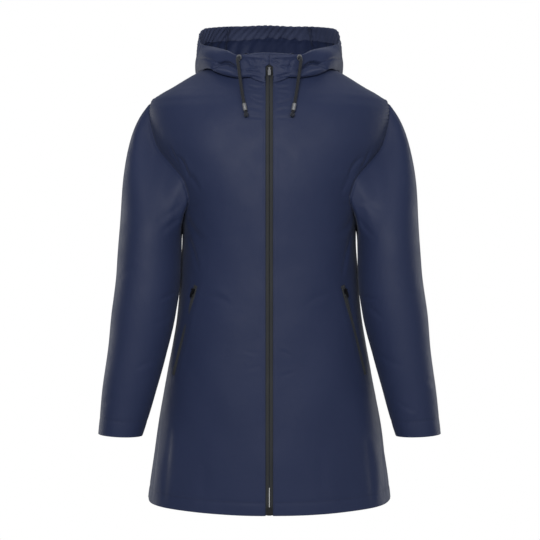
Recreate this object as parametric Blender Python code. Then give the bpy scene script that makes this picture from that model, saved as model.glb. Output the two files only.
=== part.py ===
"""A hooded raincoat, filled out as if worn, with nobody in it.

The coat is cut from two fronts, one back, two set-in sleeves and a hood of three panels. Each
piece is a wall of cloth of even thickness. A full-length zip closes the front and a slanted zip
closes each pocket. A drawcord leaves the hood's front hem through an eyelet on each side.

Frame, in metres: +Z up, the front faces -Y, the wearer's left is +X. The origin is the middle of
the neck at the height of the shoulders, where the wearer carries the coat. Sizes below are in
millimetres and degrees, and become metres when a mesh is made.
"""

import math

import bpy
import numpy as np
from mathutils import Matrix, Vector

MM = 0.001

# Driving sizes
CLOTH = 2.0  # wall of a cloth panel
SEAM_GAP = 0.4  # between two panels at a seam
LAID_GAP = 0.3  # between a panel and what is laid on it or behind it
HEM_Z = -850.0  # at the side seams
HEM_DIP = 6.0  # how far the hem dips below that at the front and the back
ARMPIT_Z = -315.0
SHOULDER_TIP_Z = -80.0
CUFF_Z = -718.0
ZIP_SHOWS = 14.0  # width of the front zip between the two fronts
ZIP_TAPE = 12.5  # width of one tape, its sewn part included
TAPE_THICK = 1.0
ZIP_TOP_Z = -19.0  # above it the hood's two front edges close over the zip's end
ZIP_BOX = (9.0, 15.0, 3.0)  # width, height and thickness of the box at the zip's foot
ZIP_SLIDER = (8.6, 10.5, 2.6)
ZIP_PULL = (3.2, 5.6, 14.0, 1.3)  # width at the hinge, width at the end, length, thickness
ZIP_SLIDER_Z = -28.5
TAPE_GAP = 0.5  # between the front zip's tape and the cloth it is sewn behind
SLIDER_RISE = 0.55  # between a slider and the tape behind it
POCKET_RISE = 0.5
POCKET_ZIP = 9.0  # width of the pocket zip that shows
POCKET_TOP = (139.0, -437.0)  # out from the middle and height of each end of the pocket zip
POCKET_FOOT = (182.0, -603.0)
POCKET_SLIDER = (6.6, 9.0, 2.2)
POCKET_PULL = (2.6, 4.6, 15.0, 1.2)
POCKET_SLIDER_AT = 9.0  # the slider's middle, down the zip from its top
EAR = (1.0, 2.6)  # thickness and length of the two ears that hold a pull
RUNNING_GAP = 0.35  # between a pull and its slider
EYELET = (3.5, 5.6, 1.3)  # inner radius, outer radius, thickness
EYELET_ANGLE = 31.5
EYELET_BELOW_EDGE = 6.0
CORD_DIAMETER = 6.0
FERRULE = (3.4, 4.2, 14.0)  # inner radius, outer radius, length
KNOT = (4.6, 8.0)  # radius and height of the knot below the ferrule
HOOD_SEAM_ANGLE = 148.0  # from the front round to the seam between side and centre panels

# The body's horizontal sections: half width, how far the front and the back stand from the side
# seam, the exponent of the superellipse (2 is an ellipse, more is squarer) and how far the side
# seam lies behind the middle.
TORSO = np.array(
    [
        # height, half width, front, back, squareness, seam behind
        (-860, 239, 151, 143, 2.1, 0),
        (-780, 228, 148, 136, 2.1, 0),
        (-690, 214.5, 145, 126, 2.15, 2),
        (-600, 198, 145, 113, 2.2, 6),
        (-540, 187, 146, 102, 2.25, 10),
        (-500, 180.5, 147, 95, 2.3, 13),
        (-460, 176.5, 147, 89, 2.3, 15),
        (-400, 172.5, 146, 84, 2.35, 16),
        (-350, 169, 147, 87, 2.4, 16),
        (-292, 171, 146, 96, 2.5, 13),
        (-225, 191, 139, 110, 2.5, 6),
        (-156, 225, 127, 115, 2.4, 1),
        (-100, 235, 112, 108, 2.2, 0),
        (SHOULDER_TIP_Z, 230, 104, 101, 2.0, 0),
        (-65, 211, 97, 96, 1.95, 0),
        (-51, 186, 92, 92, 1.9, 0),
        (-31, 153, 85, 84, 1.9, 0),
        (0, 102, 76, 75, 2.0, 0),
        (8, 89, 73, 73, 2.1, 0),
        (24, 80, 68, 71, 2.3, 0),
    ]
)

# The neckline, by the turn round it from the front
NECKLINE = np.array(
    [
        # turn, height, size: half its width at that turn over the sine of the turn
        (0, -42, 80),
        (45, -27, 82),
        (90, 6, None),
        (135, 15, 80),
        (180, 19, 78),
    ],
    dtype=float,
)

# The armhole, by the angle round it from the shoulder (0) to the underarm (180): its height, and
# how far it reaches round the body from the side seam, to the front and to the back, in degrees
ARMHOLE = np.array(
    [
        # angle, height, to the front, to the back
        (0, SHOULDER_TIP_Z, 0, 0),
        (20, -86, 6.5, 6),
        (45, -107, 10.5, 10),
        (70, -140, 12, 12),
        (90, -172, 15, 14),
        (110, -206, 24, 19),
        (130, -241, 33, 26),
        (145, -268, 32.5, 27),
        (160, -294, 23, 19),
        (180, ARMPIT_Z, 0, 0),
    ]
)

# The sleeve below its cap: sections square to the arm, less so at the cuff
SLEEVE = np.array(
    [
        # height, out from the middle, forward, half width, half depth
        (-365, 229.2, 33, 60.4, 70),
        (-410, 230.8, 40, 61.0, 67),
        (-480, 238.5, 48, 60.5, 63),
        (-560, 252.0, 55, 54.5, 57),
        (-640, 267.5, 61, 48.5, 51),
        (CUFF_Z, 282.5, 66, 42.0, 46),
    ]
)
# How the sleeve leaves the armhole: the start of its curve at the top, front, underarm and back
CAP_START = {
    "top": (172, 0, -170),
    "front": (80, -30, -80),
    "under": (9, -4, -48),
    "back": (80, 30, -80),
}

# The hood lies open behind the neck. Each ring runs round it, from the neck seam outwards, down
# into the bag and up to the edge of the face opening. Columns are angles from the front; each
# entry is (distance from the neck's middle, height).
HOOD_ANGLES = np.array([0, 31, 50, 70, 95, 125, 155, 180.0])
HOOD_RINGS = {
    "roll": [(91, -37), (99, -40), (110, -30), (110, -4), (105, 3), (98, 19), (88, 30), (83, 33)],
    "hollow": [(93, -31), (103.5, -43.5), (116, -37), (122, -10), (121, -5), (119, -26), (108, -50), (105, -50)],
    "bottom": [(94, -26), (108, -40.5), (120.5, -34), (128, -10), (133, -12), (147, -60), (138, -125), (134, -148)],
    "belly": [(95, -20), (106, -28), (115, -19.5), (130, -2), (141, -3), (168, -22), (178, -72), (178, -95)],
    "upper": [(95.5, -14), (106, -13), (111, -4), (128, 8), (141, 13), (168, 24), (186, 0), (190, -10)],
    "channel": [(96, -9), (108, -5), (107, 8), (118, 17), (138, 28), (160, 57), (171, 63), (170, 64)],
    "edge": [(96, -3), (107, -2), (102, 10), (109, 21), (135, 38), (157, 83), (155, 97), (145, 100)],
}

# How the left drawcord hangs, once it is clear of its eyelet
CORD_HANG = np.array(
    [
        # out from the middle, behind the middle, height
        (58.8, -99.5, -17),
        (57.0, -100.0, -30),
        (54.5, -100.5, -48),
        (52.0, -103.0, -66),
        (49.5, -108.5, -82),
        (46.4, -115.3, -99),
        (43.5, -120.8, -114.5),
    ]
)

COLOURS = {
    # name: colour, roughness, metallic
    "coated_cloth": ((0.030, 0.038, 0.075), 0.5, 0.0),
    "zip_tape": ((0.045, 0.046, 0.047), 0.6, 0.0),
    "dark_metal": ((0.10, 0.10, 0.11), 0.35, 0.9),
    "cord": ((0.012, 0.012, 0.013), 0.8, 0.0),
    "bright_metal": ((0.55, 0.55, 0.57), 0.3, 1.0),
}


def smooth(table_x, table_y, x, flat_ends=False):
    """A monotone cubic curve through a table, at x. flat_ends makes it level at both ends."""
    table_x, table_y, x = (np.asarray(v, float) for v in (table_x, table_y, x))
    step = np.diff(table_x)
    rise = np.diff(table_y) / step
    slope = np.zeros(len(table_x))
    before, after = rise[:-1], rise[1:]
    same_way = before * after > 0
    weight_a, weight_b = 2 * step[1:] + step[:-1], step[1:] + 2 * step[:-1]
    safe_before, safe_after = np.where(same_way, before, 1), np.where(same_way, after, 1)
    mean = (weight_a + weight_b) / (weight_a / safe_before + weight_b / safe_after)
    slope[1:-1] = np.where(same_way, mean, 0)
    if not flat_ends:
        slope[0], slope[-1] = rise[0], rise[-1]
    i = np.clip(np.searchsorted(table_x, x, side="right") - 1, 0, len(step) - 1)
    t = (x - table_x[i]) / step[i]
    return (
        (2 * t**3 - 3 * t**2 + 1) * table_y[i]
        + (t**3 - 2 * t**2 + t) * step[i] * slope[i]
        + (3 * t**2 - 2 * t**3) * table_y[i + 1]
        + (t**3 - t**2) * step[i] * slope[i + 1]
    )


def unit(v):
    return v / np.maximum(np.linalg.norm(v, axis=-1, keepdims=True), 1e-9)


def hermite(start, end, start_speed, end_speed, t):
    return (
        (2 * t**3 - 3 * t**2 + 1) * start
        + (t**3 - 2 * t**2 + t) * start_speed
        + (3 * t**2 - 2 * t**3) * end
        + (t**3 - t**2) * end_speed
    )


# ---------------------------------------------------------------- the body's surface


def section(z):
    """(half width, front, back, squareness, seam behind) of the body at height z."""
    heights = TORSO[:, 0]
    return [smooth(heights, TORSO[:, k], z) for k in (1, 2, 3, 4, 5)]


def torso(angle, z):
    """The point of the body's outer surface at an angle round it, 0 at the front and 90 at the
    wearer's left, and a height."""
    half, front, back, square, seam_behind = section(z)
    a = np.radians(angle)
    across, along = np.sin(a), np.cos(a)
    x = half * np.sign(across) * np.abs(across) ** (2 / square)
    depth = np.where(along > 0, front, back)
    y = seam_behind - depth * np.sign(along) * np.abs(along) ** (2 / square)
    return np.stack([x, y, z + 0 * x], axis=-1)


def torso_normal(angle, z):
    """The outward direction of the body's surface."""
    turn, climb = 0.8, 0.8
    round_it = torso(angle + turn, z) - torso(angle - turn, z)
    up = torso(angle, z + climb) - torso(angle, z - climb)
    return unit(np.cross(round_it, up))


def angle_at(x, z):
    """The angle, from 0 to 90, at which the body's front is x out from the middle."""
    half, _, _, square, _ = section(z)
    return np.degrees(np.arcsin(np.clip(x / half, 0, 1) ** (square / 2)))


def neckline(turn):
    """(angle, height) of the neckline, by the turn round the neck."""
    sizes = NECKLINE[:, 2].copy()
    sizes[2] = section(NECKLINE[2, 1])[0]
    z = smooth(NECKLINE[:, 0], NECKLINE[:, 1], turn, flat_ends=True)
    size = smooth(NECKLINE[:, 0], sizes, turn, flat_ends=True)
    angle = angle_at(size * np.sin(np.radians(turn)), z)
    return np.where(turn > 90, 180 - angle, angle), z


def armhole(turn, front):
    """(angle, height) of the armhole, by the angle round it: 0 at the shoulder, 180 underarm."""
    z = smooth(ARMHOLE[:, 0], ARMHOLE[:, 1], turn, flat_ends=True)
    reach = smooth(ARMHOLE[:, 0], ARMHOLE[:, 2 if front else 3], turn)
    return (90 - reach if front else 90 + reach), z


# ---------------------------------------------------------------- meshes


def material(name):
    found = bpy.data.materials.get(name)
    if found:
        return found
    colour, roughness, metallic = COLOURS[name]
    made = bpy.data.materials.new(name)
    made.use_nodes = True
    shader = made.node_tree.nodes["Principled BSDF"]
    shader.inputs["Base Color"].default_value = (*colour, 1)
    shader.inputs["Roughness"].default_value = roughness
    shader.inputs["Metallic"].default_value = metallic
    made.diffuse_color = (*colour, 1)
    return made


def add(name, mesh, finish):
    obj = bpy.data.objects.new(name, mesh)
    obj.data.materials.append(material(finish))
    bpy.context.scene.collection.objects.link(obj)
    return obj


def wall(name, outer, normals, thick=CLOTH, finish="coated_cloth", tube=False):
    """A closed wall behind a grid of outer points. A tube's last column joins its first."""
    rows, columns = outer.shape[:2]
    inner = outer - thick * normals
    points = np.concatenate([outer.reshape(-1, 3), inner.reshape(-1, 3)]) * MM
    behind = rows * columns

    def at(i, j):
        return i * columns + j % columns

    faces = []
    for i in range(rows - 1):
        for j in range(columns if tube else columns - 1):
            a, b, c, d = at(i, j), at(i, j + 1), at(i + 1, j + 1), at(i + 1, j)
            if np.linalg.norm(points[a] - points[c]) <= np.linalg.norm(points[b] - points[d]):
                halves = ((a, b, c), (a, c, d))
            else:
                halves = ((a, b, d), (b, c, d))
            for half in halves:
                faces.append(half)
                faces.append([behind + p for p in reversed(half)])
    rim = []
    for j in range(columns if tube else columns - 1):
        rim += [(at(0, j + 1), at(0, j)), (at(rows - 1, j), at(rows - 1, j + 1))]
    if not tube:
        for i in range(rows - 1):
            rim += [(at(i, 0), at(i + 1, 0)), (at(i + 1, columns - 1), at(i, columns - 1))]
    for a, b in rim:
        c, d = behind + b, behind + a
        if np.linalg.norm(points[a] - points[c]) <= np.linalg.norm(points[b] - points[d]):
            faces += [(a, b, c), (a, c, d)]
        else:
            faces += [(a, b, d), (b, c, d)]
    mesh = bpy.data.meshes.new(name)
    mesh.from_pydata(points.tolist(), [], faces)
    mesh.shade_smooth()
    mesh.set_sharp_from_angle(angle=math.radians(60))
    return add(name, mesh, finish)


def drawn_in(grid, normals, sides, by=SEAM_GAP / 2):
    """The grid with its named edges moved a little into the panel, square to the seam."""
    moved = grid.copy()
    edges = {
        "bottom": (np.s_[0, :], np.s_[1, :]),
        "top": (np.s_[-1, :], np.s_[-2, :]),
        "first": (np.s_[:, 0], np.s_[:, 1]),
        "last": (np.s_[:, -1], np.s_[:, -2]),
    }
    for side in sides:
        edge, inside = edges[side]
        along = np.gradient(grid[edge], axis=0)
        square = unit(np.cross(normals[edge], along))
        inwards = np.sum(square * (grid[inside] - grid[edge]))
        moved[edge] += by * np.sign(inwards) * square
    return moved


def shared(own, other):
    """The direction in which a wall is thick at a seam: the mean of the two panels' normals where
    one runs on from the other, or the wall's own where they meet at a fold."""
    agree = np.sum(own * other, axis=-1, keepdims=True)
    return unit(own + np.clip((agree - 0.5) / 0.3, 0, 1) * other)


def mirrored(grid):
    """The grid on the other side of the coat, with its columns turned round to face outwards."""
    return grid[:, ::-1] * (-1, 1, 1)


# ---------------------------------------------------------------- fronts and back

ROWS_BELOW_ARM = 10
SLEEVE_COLUMNS = 24
ROWS_AT_ARM = SLEEVE_COLUMNS // 2  # so that panels and sleeves meet point to point
NECK_COLUMNS = 7
SHOULDER_COLUMNS = 5


def arc_lengths(z, front):
    """How far each of 91 angles, from the middle to the side seam, is round the section at z."""
    angles = np.linspace(0, 90, 91) if front else np.linspace(180, 90, 91)
    steps = np.diff(torso(angles, np.full(91, z)), axis=0)
    return angles, np.concatenate([[0], np.cumsum(np.linalg.norm(steps, axis=1))])


def to_flat(pairs, front):
    """(angle, height) pairs as (distance round the body from the middle, height)."""
    flat = []
    for angle, z in pairs:
        angles, lengths = arc_lengths(z, front)
        turned = angle if front else 180 - angle
        flat.append((np.interp(turned, np.linspace(0, 90, 91), lengths), z))
    return np.array(flat)


def from_flat(flat, front):
    """The (angle, height) pairs that to_flat was given."""
    pairs = []
    for distance, z in flat.reshape(-1, 2):
        angles, lengths = arc_lengths(z, front)
        pairs.append((np.interp(distance, lengths, angles), z))
    return np.array(pairs).reshape(flat.shape)


def coons(bottom, top, first, last):
    """A grid of points spanned between its four edges."""
    rows, columns = len(first), len(bottom)
    s = np.linspace(0, 1, columns)[None, :, None]
    t = np.linspace(0, 1, rows)[:, None, None]
    across = (1 - s) * first[:, None] + s * last[:, None]
    along = (1 - t) * bottom[None] + t * top[None]
    corners = (1 - t) * ((1 - s) * bottom[0] + s * bottom[-1])
    corners = corners + t * ((1 - s) * top[0] + s * top[-1])
    return across + along - corners


def relaxed(grid, rounds=600):
    """The flat grid with its inner points spread evenly and no cell folded over (Winslow)."""
    g = grid.copy()
    for _ in range(rounds):
        by_column = (g[1:-1, 2:] - g[1:-1, :-2]) / 2
        by_row = (g[2:, 1:-1] - g[:-2, 1:-1]) / 2
        a = np.sum(by_row**2, -1, keepdims=True)
        b = np.sum(by_row * by_column, -1, keepdims=True)
        c = np.sum(by_column**2, -1, keepdims=True)
        twist = g[2:, 2:] - g[2:, :-2] - g[:-2, 2:] + g[:-2, :-2]
        new = a * (g[1:-1, 2:] + g[1:-1, :-2]) + c * (g[2:, 1:-1] + g[:-2, 1:-1]) - b / 2 * twist
        g[1:-1, 1:-1] += 0.7 * (new / (2 * (a + c)) - g[1:-1, 1:-1])
    return g


def even_turns(start, end):
    """Turns round the neckline that part it into NECK_COLUMNS even lengths."""
    turns = np.linspace(start, end, 181)
    points = torso(*neckline(turns))
    lengths = np.concatenate([[0], np.cumsum(np.linalg.norm(np.diff(points, axis=0), axis=1))])
    return np.interp(np.linspace(0, lengths[-1], NECK_COLUMNS + 1), lengths, turns)


def panel_grid(front):
    """(angle, height) grid of half the front or half the back, from the middle to the side."""
    below = np.linspace(HEM_Z, ARMPIT_Z, ROWS_BELOW_ARM + 1)
    middle_below = np.linspace(HEM_Z - HEM_DIP, ARMPIT_Z, ROWS_BELOW_ARM + 1)
    middle_z = np.linspace(ARMPIT_Z, NECKLINE[0 if front else -1, 1], ROWS_AT_ARM + 1)[1:]
    middle_z = np.concatenate([middle_below, middle_z])
    if front:
        middle_angle = angle_at(ZIP_SHOWS / 2, middle_z)
        neck_turn = even_turns(math.degrees(math.asin(ZIP_SHOWS / 2 / NECKLINE[0, 2])), 90)
    else:
        middle_angle = np.full(len(middle_z), 180.0)
        neck_turn = even_turns(180, 90)
    first = np.stack([middle_angle, middle_z], -1)
    side = np.stack([np.full(len(below), 90.0), below], -1)
    hole = np.stack(armhole(np.linspace(180, 0, ROWS_AT_ARM + 1), front), -1)[1:]
    last = np.concatenate([side, hole])
    neck = np.stack(neckline(neck_turn), -1)
    shoulder_z = np.linspace(neck[-1, 1], SHOULDER_TIP_Z, SHOULDER_COLUMNS + 1)[1:]
    shoulder = np.stack([np.full(SHOULDER_COLUMNS, 90.0), shoulder_z], -1)
    top = np.concatenate([neck, shoulder])
    top[0] = first[-1]
    columns = NECK_COLUMNS + SHOULDER_COLUMNS + 1
    bottom_angle = np.linspace(middle_angle[0], 90, columns)
    bottom_z = HEM_Z - HEM_DIP * np.cos(np.radians(bottom_angle)) ** 2
    bottom_z[0] = middle_z[0]
    bottom = np.stack([bottom_angle, bottom_z], -1)
    edges = [to_flat(edge, front) for edge in (bottom, top, first, last)]
    grid = from_flat(relaxed(coons(*edges)), front)
    grid[0], grid[-1], grid[:, 0], grid[:, -1] = bottom, top, first, last
    return grid


def hem_waves(angle, z):
    """How far the skirt's soft waves stand out, in mm: none at the waist, most at the hem."""
    depth = 3.5 * smooth((HEM_Z, -700, -480, 30), (1, 0.55, 0, 0), z)
    from_front = np.minimum(np.abs(angle), 360 - np.abs(angle))
    return depth * (np.cos(np.radians(from_front * 7 - 40)) * np.sin(np.radians(from_front)) ** 2)


def cloth_points(angle, z):
    """Points of the worn cloth on the body's surface, with the directions that face out."""
    normals = torso_normal(angle, z)
    return torso(angle, z) + normals * hem_waves(angle, z)[..., None], normals


def half_panel(front):
    """Points and wall directions of half the front or half the back, on the wearer's left."""
    grid = panel_grid(front)
    points, normals = cloth_points(grid[..., 0], grid[..., 1])
    sleeve_start = grid_normals(sleeve_grid(), around=True)[0]
    for _ in range(NORMAL_ROUNDS):
        beside = np.roll(sleeve_start, 1, 0) + np.roll(sleeve_start, -1, 0)
        sleeve_start = unit(sleeve_start + beside / 2)
    columns = np.arange(ROWS_AT_ARM, -1, -1)
    if not front:
        columns = (SLEEVE_COLUMNS - columns) % SLEEVE_COLUMNS
    at_hole = slice(-ROWS_AT_ARM - 1, None)
    normals[at_hole, -1] = shared(normals[at_hole, -1], sleeve_start[columns])
    return points, normals


def make_fronts_and_back():
    points, normals = half_panel(front=True)
    points = drawn_in(points, normals, ("last", "top"))
    wall("front_left", points, normals)
    wall("front_right", mirrored(points), mirrored(normals))
    points, normals = half_panel(front=False)
    points = drawn_in(points, normals, ("last", "top"))
    left_half, left_normals = points[:, ::-1], normals[:, ::-1]
    right_half, right_normals = mirrored(left_half), mirrored(left_normals)
    points = np.concatenate([left_half, right_half[:, 1:]], axis=1)
    normals = np.concatenate([left_normals, right_normals[:, 1:]], axis=1)
    wall("back", points, normals)


# ---------------------------------------------------------------- sleeves

CAP_ROWS = 5
ARM_ROWS = 8
NORMAL_ROUNDS = 4  # of evening out the directions in which the sleeve's wall is thick


def arm(z):
    """(out, forward, half width, half depth) of the sleeve at height z."""
    return [smooth(SLEEVE[::-1, 0], SLEEVE[::-1, k], z) for k in (1, 2, 3, 4)]


def sleeve_section(turn, z):
    """The wearer's left sleeve cut square to the arm through its middle at height z. The turn is
    0 at the outside, 90 at the front."""
    out, forward, half_width, half_depth = arm(z)
    low = np.maximum(z - 10, CUFF_Z)
    low_out, low_forward, _, _ = arm(low)
    high_out, high_forward, _, _ = arm(low + 10)
    square = smooth((CUFF_Z, CUFF_Z + 80, -300), (0.3, 1, 1), z)
    t = np.radians(turn)
    dx, dy = half_width * np.cos(t), -half_depth * np.sin(t)
    rise = square * ((low_out - high_out) * dx - (low_forward - high_forward) * dy) / 10
    return np.stack([out + dx, -forward + dy, z + rise + 0 * dx], -1)


def hole_normals():
    """The body's outward directions round the armhole."""
    turn = np.arange(SLEEVE_COLUMNS) * 360 / SLEEVE_COLUMNS
    fronts = [torso_normal(*armhole(t, True)) for t in turn if t <= 180]
    backs = [torso_normal(*armhole(360 - t, False)) for t in turn if t > 180]
    return np.array(fronts + backs)


def sleeve_grid():
    """The wearer's left sleeve: rows from the armhole to the cuff, columns round the arm."""
    turn = np.arange(SLEEVE_COLUMNS) * 360 / SLEEVE_COLUMNS
    hole = []
    for angle in turn:
        front = angle <= 180
        hole.append(torso(*armhole(angle if front else 360 - angle, front)))
    hole = np.array(hole)
    t = np.radians(turn)[:, None]
    share = {
        "top": np.maximum(np.cos(t), 0) ** 2,
        "under": np.maximum(-np.cos(t), 0) ** 2,
        "front": np.maximum(np.sin(t), 0) ** 2,
        "back": np.maximum(-np.sin(t), 0) ** 2,
    }
    leave = sum(share[k] * np.array(CAP_START[k], float) for k in share)
    under = (1 - np.cos(t)) / 2
    hole = hole + (SEAM_GAP + 0.6 * under) * unit(unit(leave) + under * hole_normals())
    arm_top = SLEEVE[0, 0]
    ring = sleeve_section(turn, np.full(SLEEVE_COLUMNS, arm_top))
    axis = sleeve_section(turn, np.full(SLEEVE_COLUMNS, arm_top - 10)) - ring
    arrive = unit(axis) * 1.1 * np.linalg.norm(ring - hole, axis=1)[:, None]
    rows = [hermite(hole, ring, leave, arrive, s) for s in np.linspace(0, 1, CAP_ROWS + 1)]
    for z in np.linspace(arm_top, CUFF_Z, ARM_ROWS + 1)[1:]:
        rows.append(sleeve_section(turn, np.full(SLEEVE_COLUMNS, z)))
    return np.array(rows)


def grid_normals(grid, around=False):
    """Directions square to a grid of points, facing the side on which rows x columns turns."""
    if around:
        along_columns = np.roll(grid, -1, 1) - np.roll(grid, 1, 1)
    else:
        along_columns = np.gradient(grid, axis=1)
    return unit(np.cross(along_columns, np.gradient(grid, axis=0)))


def make_sleeves():
    grid = sleeve_grid()
    normals = grid_normals(grid, around=True)
    for _ in range(NORMAL_ROUNDS):
        normals = unit(normals + (np.roll(normals, 1, 1) + np.roll(normals, -1, 1)) / 2)
    normals[0] = shared(normals[0], hole_normals())
    wall("sleeve_left", grid, normals, tube=True)
    wall("sleeve_right", mirrored(grid), mirrored(normals), tube=True)


# ---------------------------------------------------------------- hood

RING_STEPS = (2, 2, 3, 3, 2, 2, 2)  # rows from each ring to the next
FRONT_HOOD_SPLIT = 2  # hood columns to each of the neckline's points, so that they meet there
BACK_HOOD_SPLIT = 3
LIFTED_TO = 128.0  # up to this angle the hood rests on the panels; behind it stands clear
GATHERS_FROM = 100.0  # the hood's edge is puckered from this angle round to the back


def neck_points():
    """The left fronts' and back's points on the neckline, the body's outward directions there
    and their angles round the neck."""
    front = panel_grid(front=True)[-1, : NECK_COLUMNS + 1]
    back = panel_grid(front=False)[-1, : NECK_COLUMNS + 1][::-1]
    pairs = np.concatenate([front, back[1:]])
    points, normals = cloth_points(pairs[:, 0], pairs[:, 1])
    return points, normals, np.degrees(np.arctan2(points[:, 0], -points[:, 1]))


def neck_seam(angles):
    """Points of the neck's edge and the body's outward directions there, at angles round the
    neck. Between two of the panels' points the edge is straight."""
    points, normals, _ = neck_points()
    steps = np.arange(len(points))
    fine = np.linspace(0, steps[-1], 40 * steps[-1] + 1)
    points = np.stack([np.interp(fine, steps, points[:, k]) for k in range(3)], -1)
    normals = np.stack([np.interp(fine, steps, normals[:, k]) for k in range(3)], -1)
    round_it = np.degrees(np.arctan2(points[:, 0], -points[:, 1]))
    seam = np.stack([np.interp(angles, round_it, points[:, k]) for k in range(3)], -1)
    facing = np.stack([np.interp(angles, round_it, normals[:, k]) for k in range(3)], -1)
    return seam, unit(facing)


def panel_triangles():
    """The triangles, corner by corner, of the upper rows of the left half front and half back."""
    found = []
    for front in (True, False):
        grid = half_panel(front)[0][-8:]
        a, b, c, d = grid[:-1, :-1], grid[:-1, 1:], grid[1:, 1:], grid[1:, :-1]
        for corners in ((a, b, c), (a, c, d), (a, b, d), (b, c, d)):
            found.append(np.stack([corner.reshape(-1, 3) for corner in corners], axis=1))
    return np.concatenate(found)


def lifted(points, triangles, lift):
    """The points, each at least the lift off any panel that it lies over."""
    raised = points.copy()
    a, ab, ac = triangles[:, 0], triangles[:, 1] - triangles[:, 0], triangles[:, 2] - triangles[:, 0]
    level = ab[:, 0] * ac[:, 1] - ab[:, 1] * ac[:, 0]
    facing = np.abs(unit(np.cross(ab, ac))[:, 2])
    for k, point in enumerate(points):
        ap = point - a
        s = (ap[:, 0] * ac[:, 1] - ap[:, 1] * ac[:, 0]) / level
        t = (ab[:, 0] * ap[:, 1] - ab[:, 1] * ap[:, 0]) / level
        over = (s > -0.02) & (t > -0.02) & (s + t < 1.02) & (facing > 0.2)
        if over.any():
            floor = a[over, 2] + s[over] * ab[over, 2] + t[over] * ac[over, 2]
            raised[k, 2] = max(point[2], np.max(floor + lift / np.maximum(facing[over], 0.35)))
    return raised


def hood_angles():
    at_neck = neck_points()[2]
    at_neck[0] = 0
    angles = [0.0]
    for k in range(len(at_neck) - 1):
        split = FRONT_HOOD_SPLIT if k < NECK_COLUMNS else BACK_HOOD_SPLIT
        angles += list(np.linspace(at_neck[k], at_neck[k + 1], split + 1)[1:])
    return np.array(angles)


def hood_half():
    """The wearer's left half of the hood: rows from the neck seam to the edge, columns from the
    front round to the middle of the back."""
    angles = hood_angles()
    seam, facing = neck_seam(HOOD_ANGLES)
    seam_ring = np.stack([np.hypot(seam[:, 0], seam[:, 1]), seam[:, 2]], -1)
    rings = np.array([seam_ring, *HOOD_RINGS.values()], float)
    around = np.stack(
        [
            np.stack([smooth(HOOD_ANGLES, ring[:, k], angles, flat_ends=True) for k in (0, 1)], -1)
            for ring in rings
        ]
    )
    rows = []
    count = len(around)
    for i, steps in enumerate(RING_STEPS):
        before, after = around[max(i - 1, 0)], around[min(i + 2, count - 1)]
        here, there = around[i], around[i + 1]
        for s in np.linspace(0, 1, steps + 1)[0 if i == 0 else 1 :]:
            rows.append(hermite(here, there, (there - before) / 2, (after - here) / 2, s))
    profile = np.array(rows)
    radius, z = profile[..., 0], profile[..., 1]
    a = np.radians(angles)[None, :]
    grid = np.stack([radius * np.sin(a), -radius * np.cos(a), z + 0 * a], -1)
    panels = panel_triangles()
    over_panels = angles < LIFTED_TO
    for row in range(1, 12):
        lift = 1.0 if row == 1 else 2.0
        grid[row, over_panels] = lifted(grid[row, over_panels], panels, lift)
    seam, facing = neck_seam(angles)
    grid[0] = seam + 1.2 * SEAM_GAP * unit(facing + (0, 0, 1))
    return angles, grid


def gathers(angles, rows):
    """How far the cloth's puckers along the drawcord channel stand out, in mm."""
    share = np.zeros(rows)
    channel_rows = RING_STEPS[-1]
    share[-channel_rows - 3 :] = np.linspace(0.25, 1, channel_rows + 3)
    where = smooth((0, GATHERS_FROM, 125, 181), (0, 0, 1, 1), angles)
    slant = np.linspace(0, 60, rows)[:, None]
    wave = np.sin(np.radians(angles[None, :] * 360 / 12.5 + slant))
    wave = wave + 0.4 * np.sin(np.radians(angles[None, :] * 360 / 21))
    return 1.3 * share[:, None] * where[None, :] * wave


def front_edge(grid):
    """The half hood's first column, brought to the zip's edge and, above the zip's end, to the
    middle."""
    moved = grid.copy()
    z = grid[:, 0, 2]
    edge = smooth((-60, ZIP_TOP_Z - 2, ZIP_TOP_Z + 6, 20), (1, 1, 0, 0), z, flat_ends=True)
    moved[:, 0, 0] = SEAM_GAP + edge * (ZIP_SHOWS / 2 - SEAM_GAP)
    return moved


def make_hood():
    angles, grid = hood_half()
    both = np.concatenate([grid, mirrored(grid)[:, 1:]], axis=1)
    normals = grid_normals(both)[:, : grid.shape[1]]
    normals[:, 0, 0] = 0
    normals[:, -1, 0] = 0
    normals = unit(normals)
    normals[0] = shared(normals[0], neck_seam(angles)[1])
    grid = grid + normals * gathers(angles, len(grid))[..., None]
    grid = front_edge(grid)
    seam = int(np.argmin(np.abs(angles - HOOD_SEAM_ANGLE)))
    side_normals = normals[:, : seam + 1]
    side = drawn_in(grid[:, : seam + 1], side_normals, ("last",))
    wall("hood_left", side, side_normals)
    wall("hood_right", mirrored(side), mirrored(side_normals))
    half, half_normals = grid[:, seam:], normals[:, seam:]
    centre = np.concatenate([half, mirrored(half)[:, 1:]], axis=1)
    centre_normals = np.concatenate([half_normals, mirrored(half_normals)[:, 1:]], axis=1)
    wall("hood_centre", drawn_in(centre, centre_normals, ("first", "last")), centre_normals)


# ---------------------------------------------------------------- frames of small pieces


def frame_at(point, out, down):
    """A matrix whose columns run across, down and out of the cloth, at a point in millimetres."""
    out = Vector(out).normalized()
    down = (Vector(down) - Vector(down).dot(out) * out).normalized()
    across = down.cross(out)
    m = Matrix((across, down, out)).transposed().to_4x4()
    m.translation = Vector(point)
    return m


def put(name, points, faces, place, finish, origin=None, sharp=35):
    """A solid from points in a frame. Its own origin is at a point of that frame, if given."""
    origin = Vector(origin) if origin else None
    start = place @ origin if origin else Vector()
    mesh = bpy.data.meshes.new(name)
    mesh.from_pydata([tuple((place @ Vector(p) - start) * MM) for p in points], [], faces)
    mesh.shade_smooth()
    mesh.set_sharp_from_angle(angle=math.radians(sharp))
    obj = add(name, mesh, finish)
    obj.location = start * MM
    return obj


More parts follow.
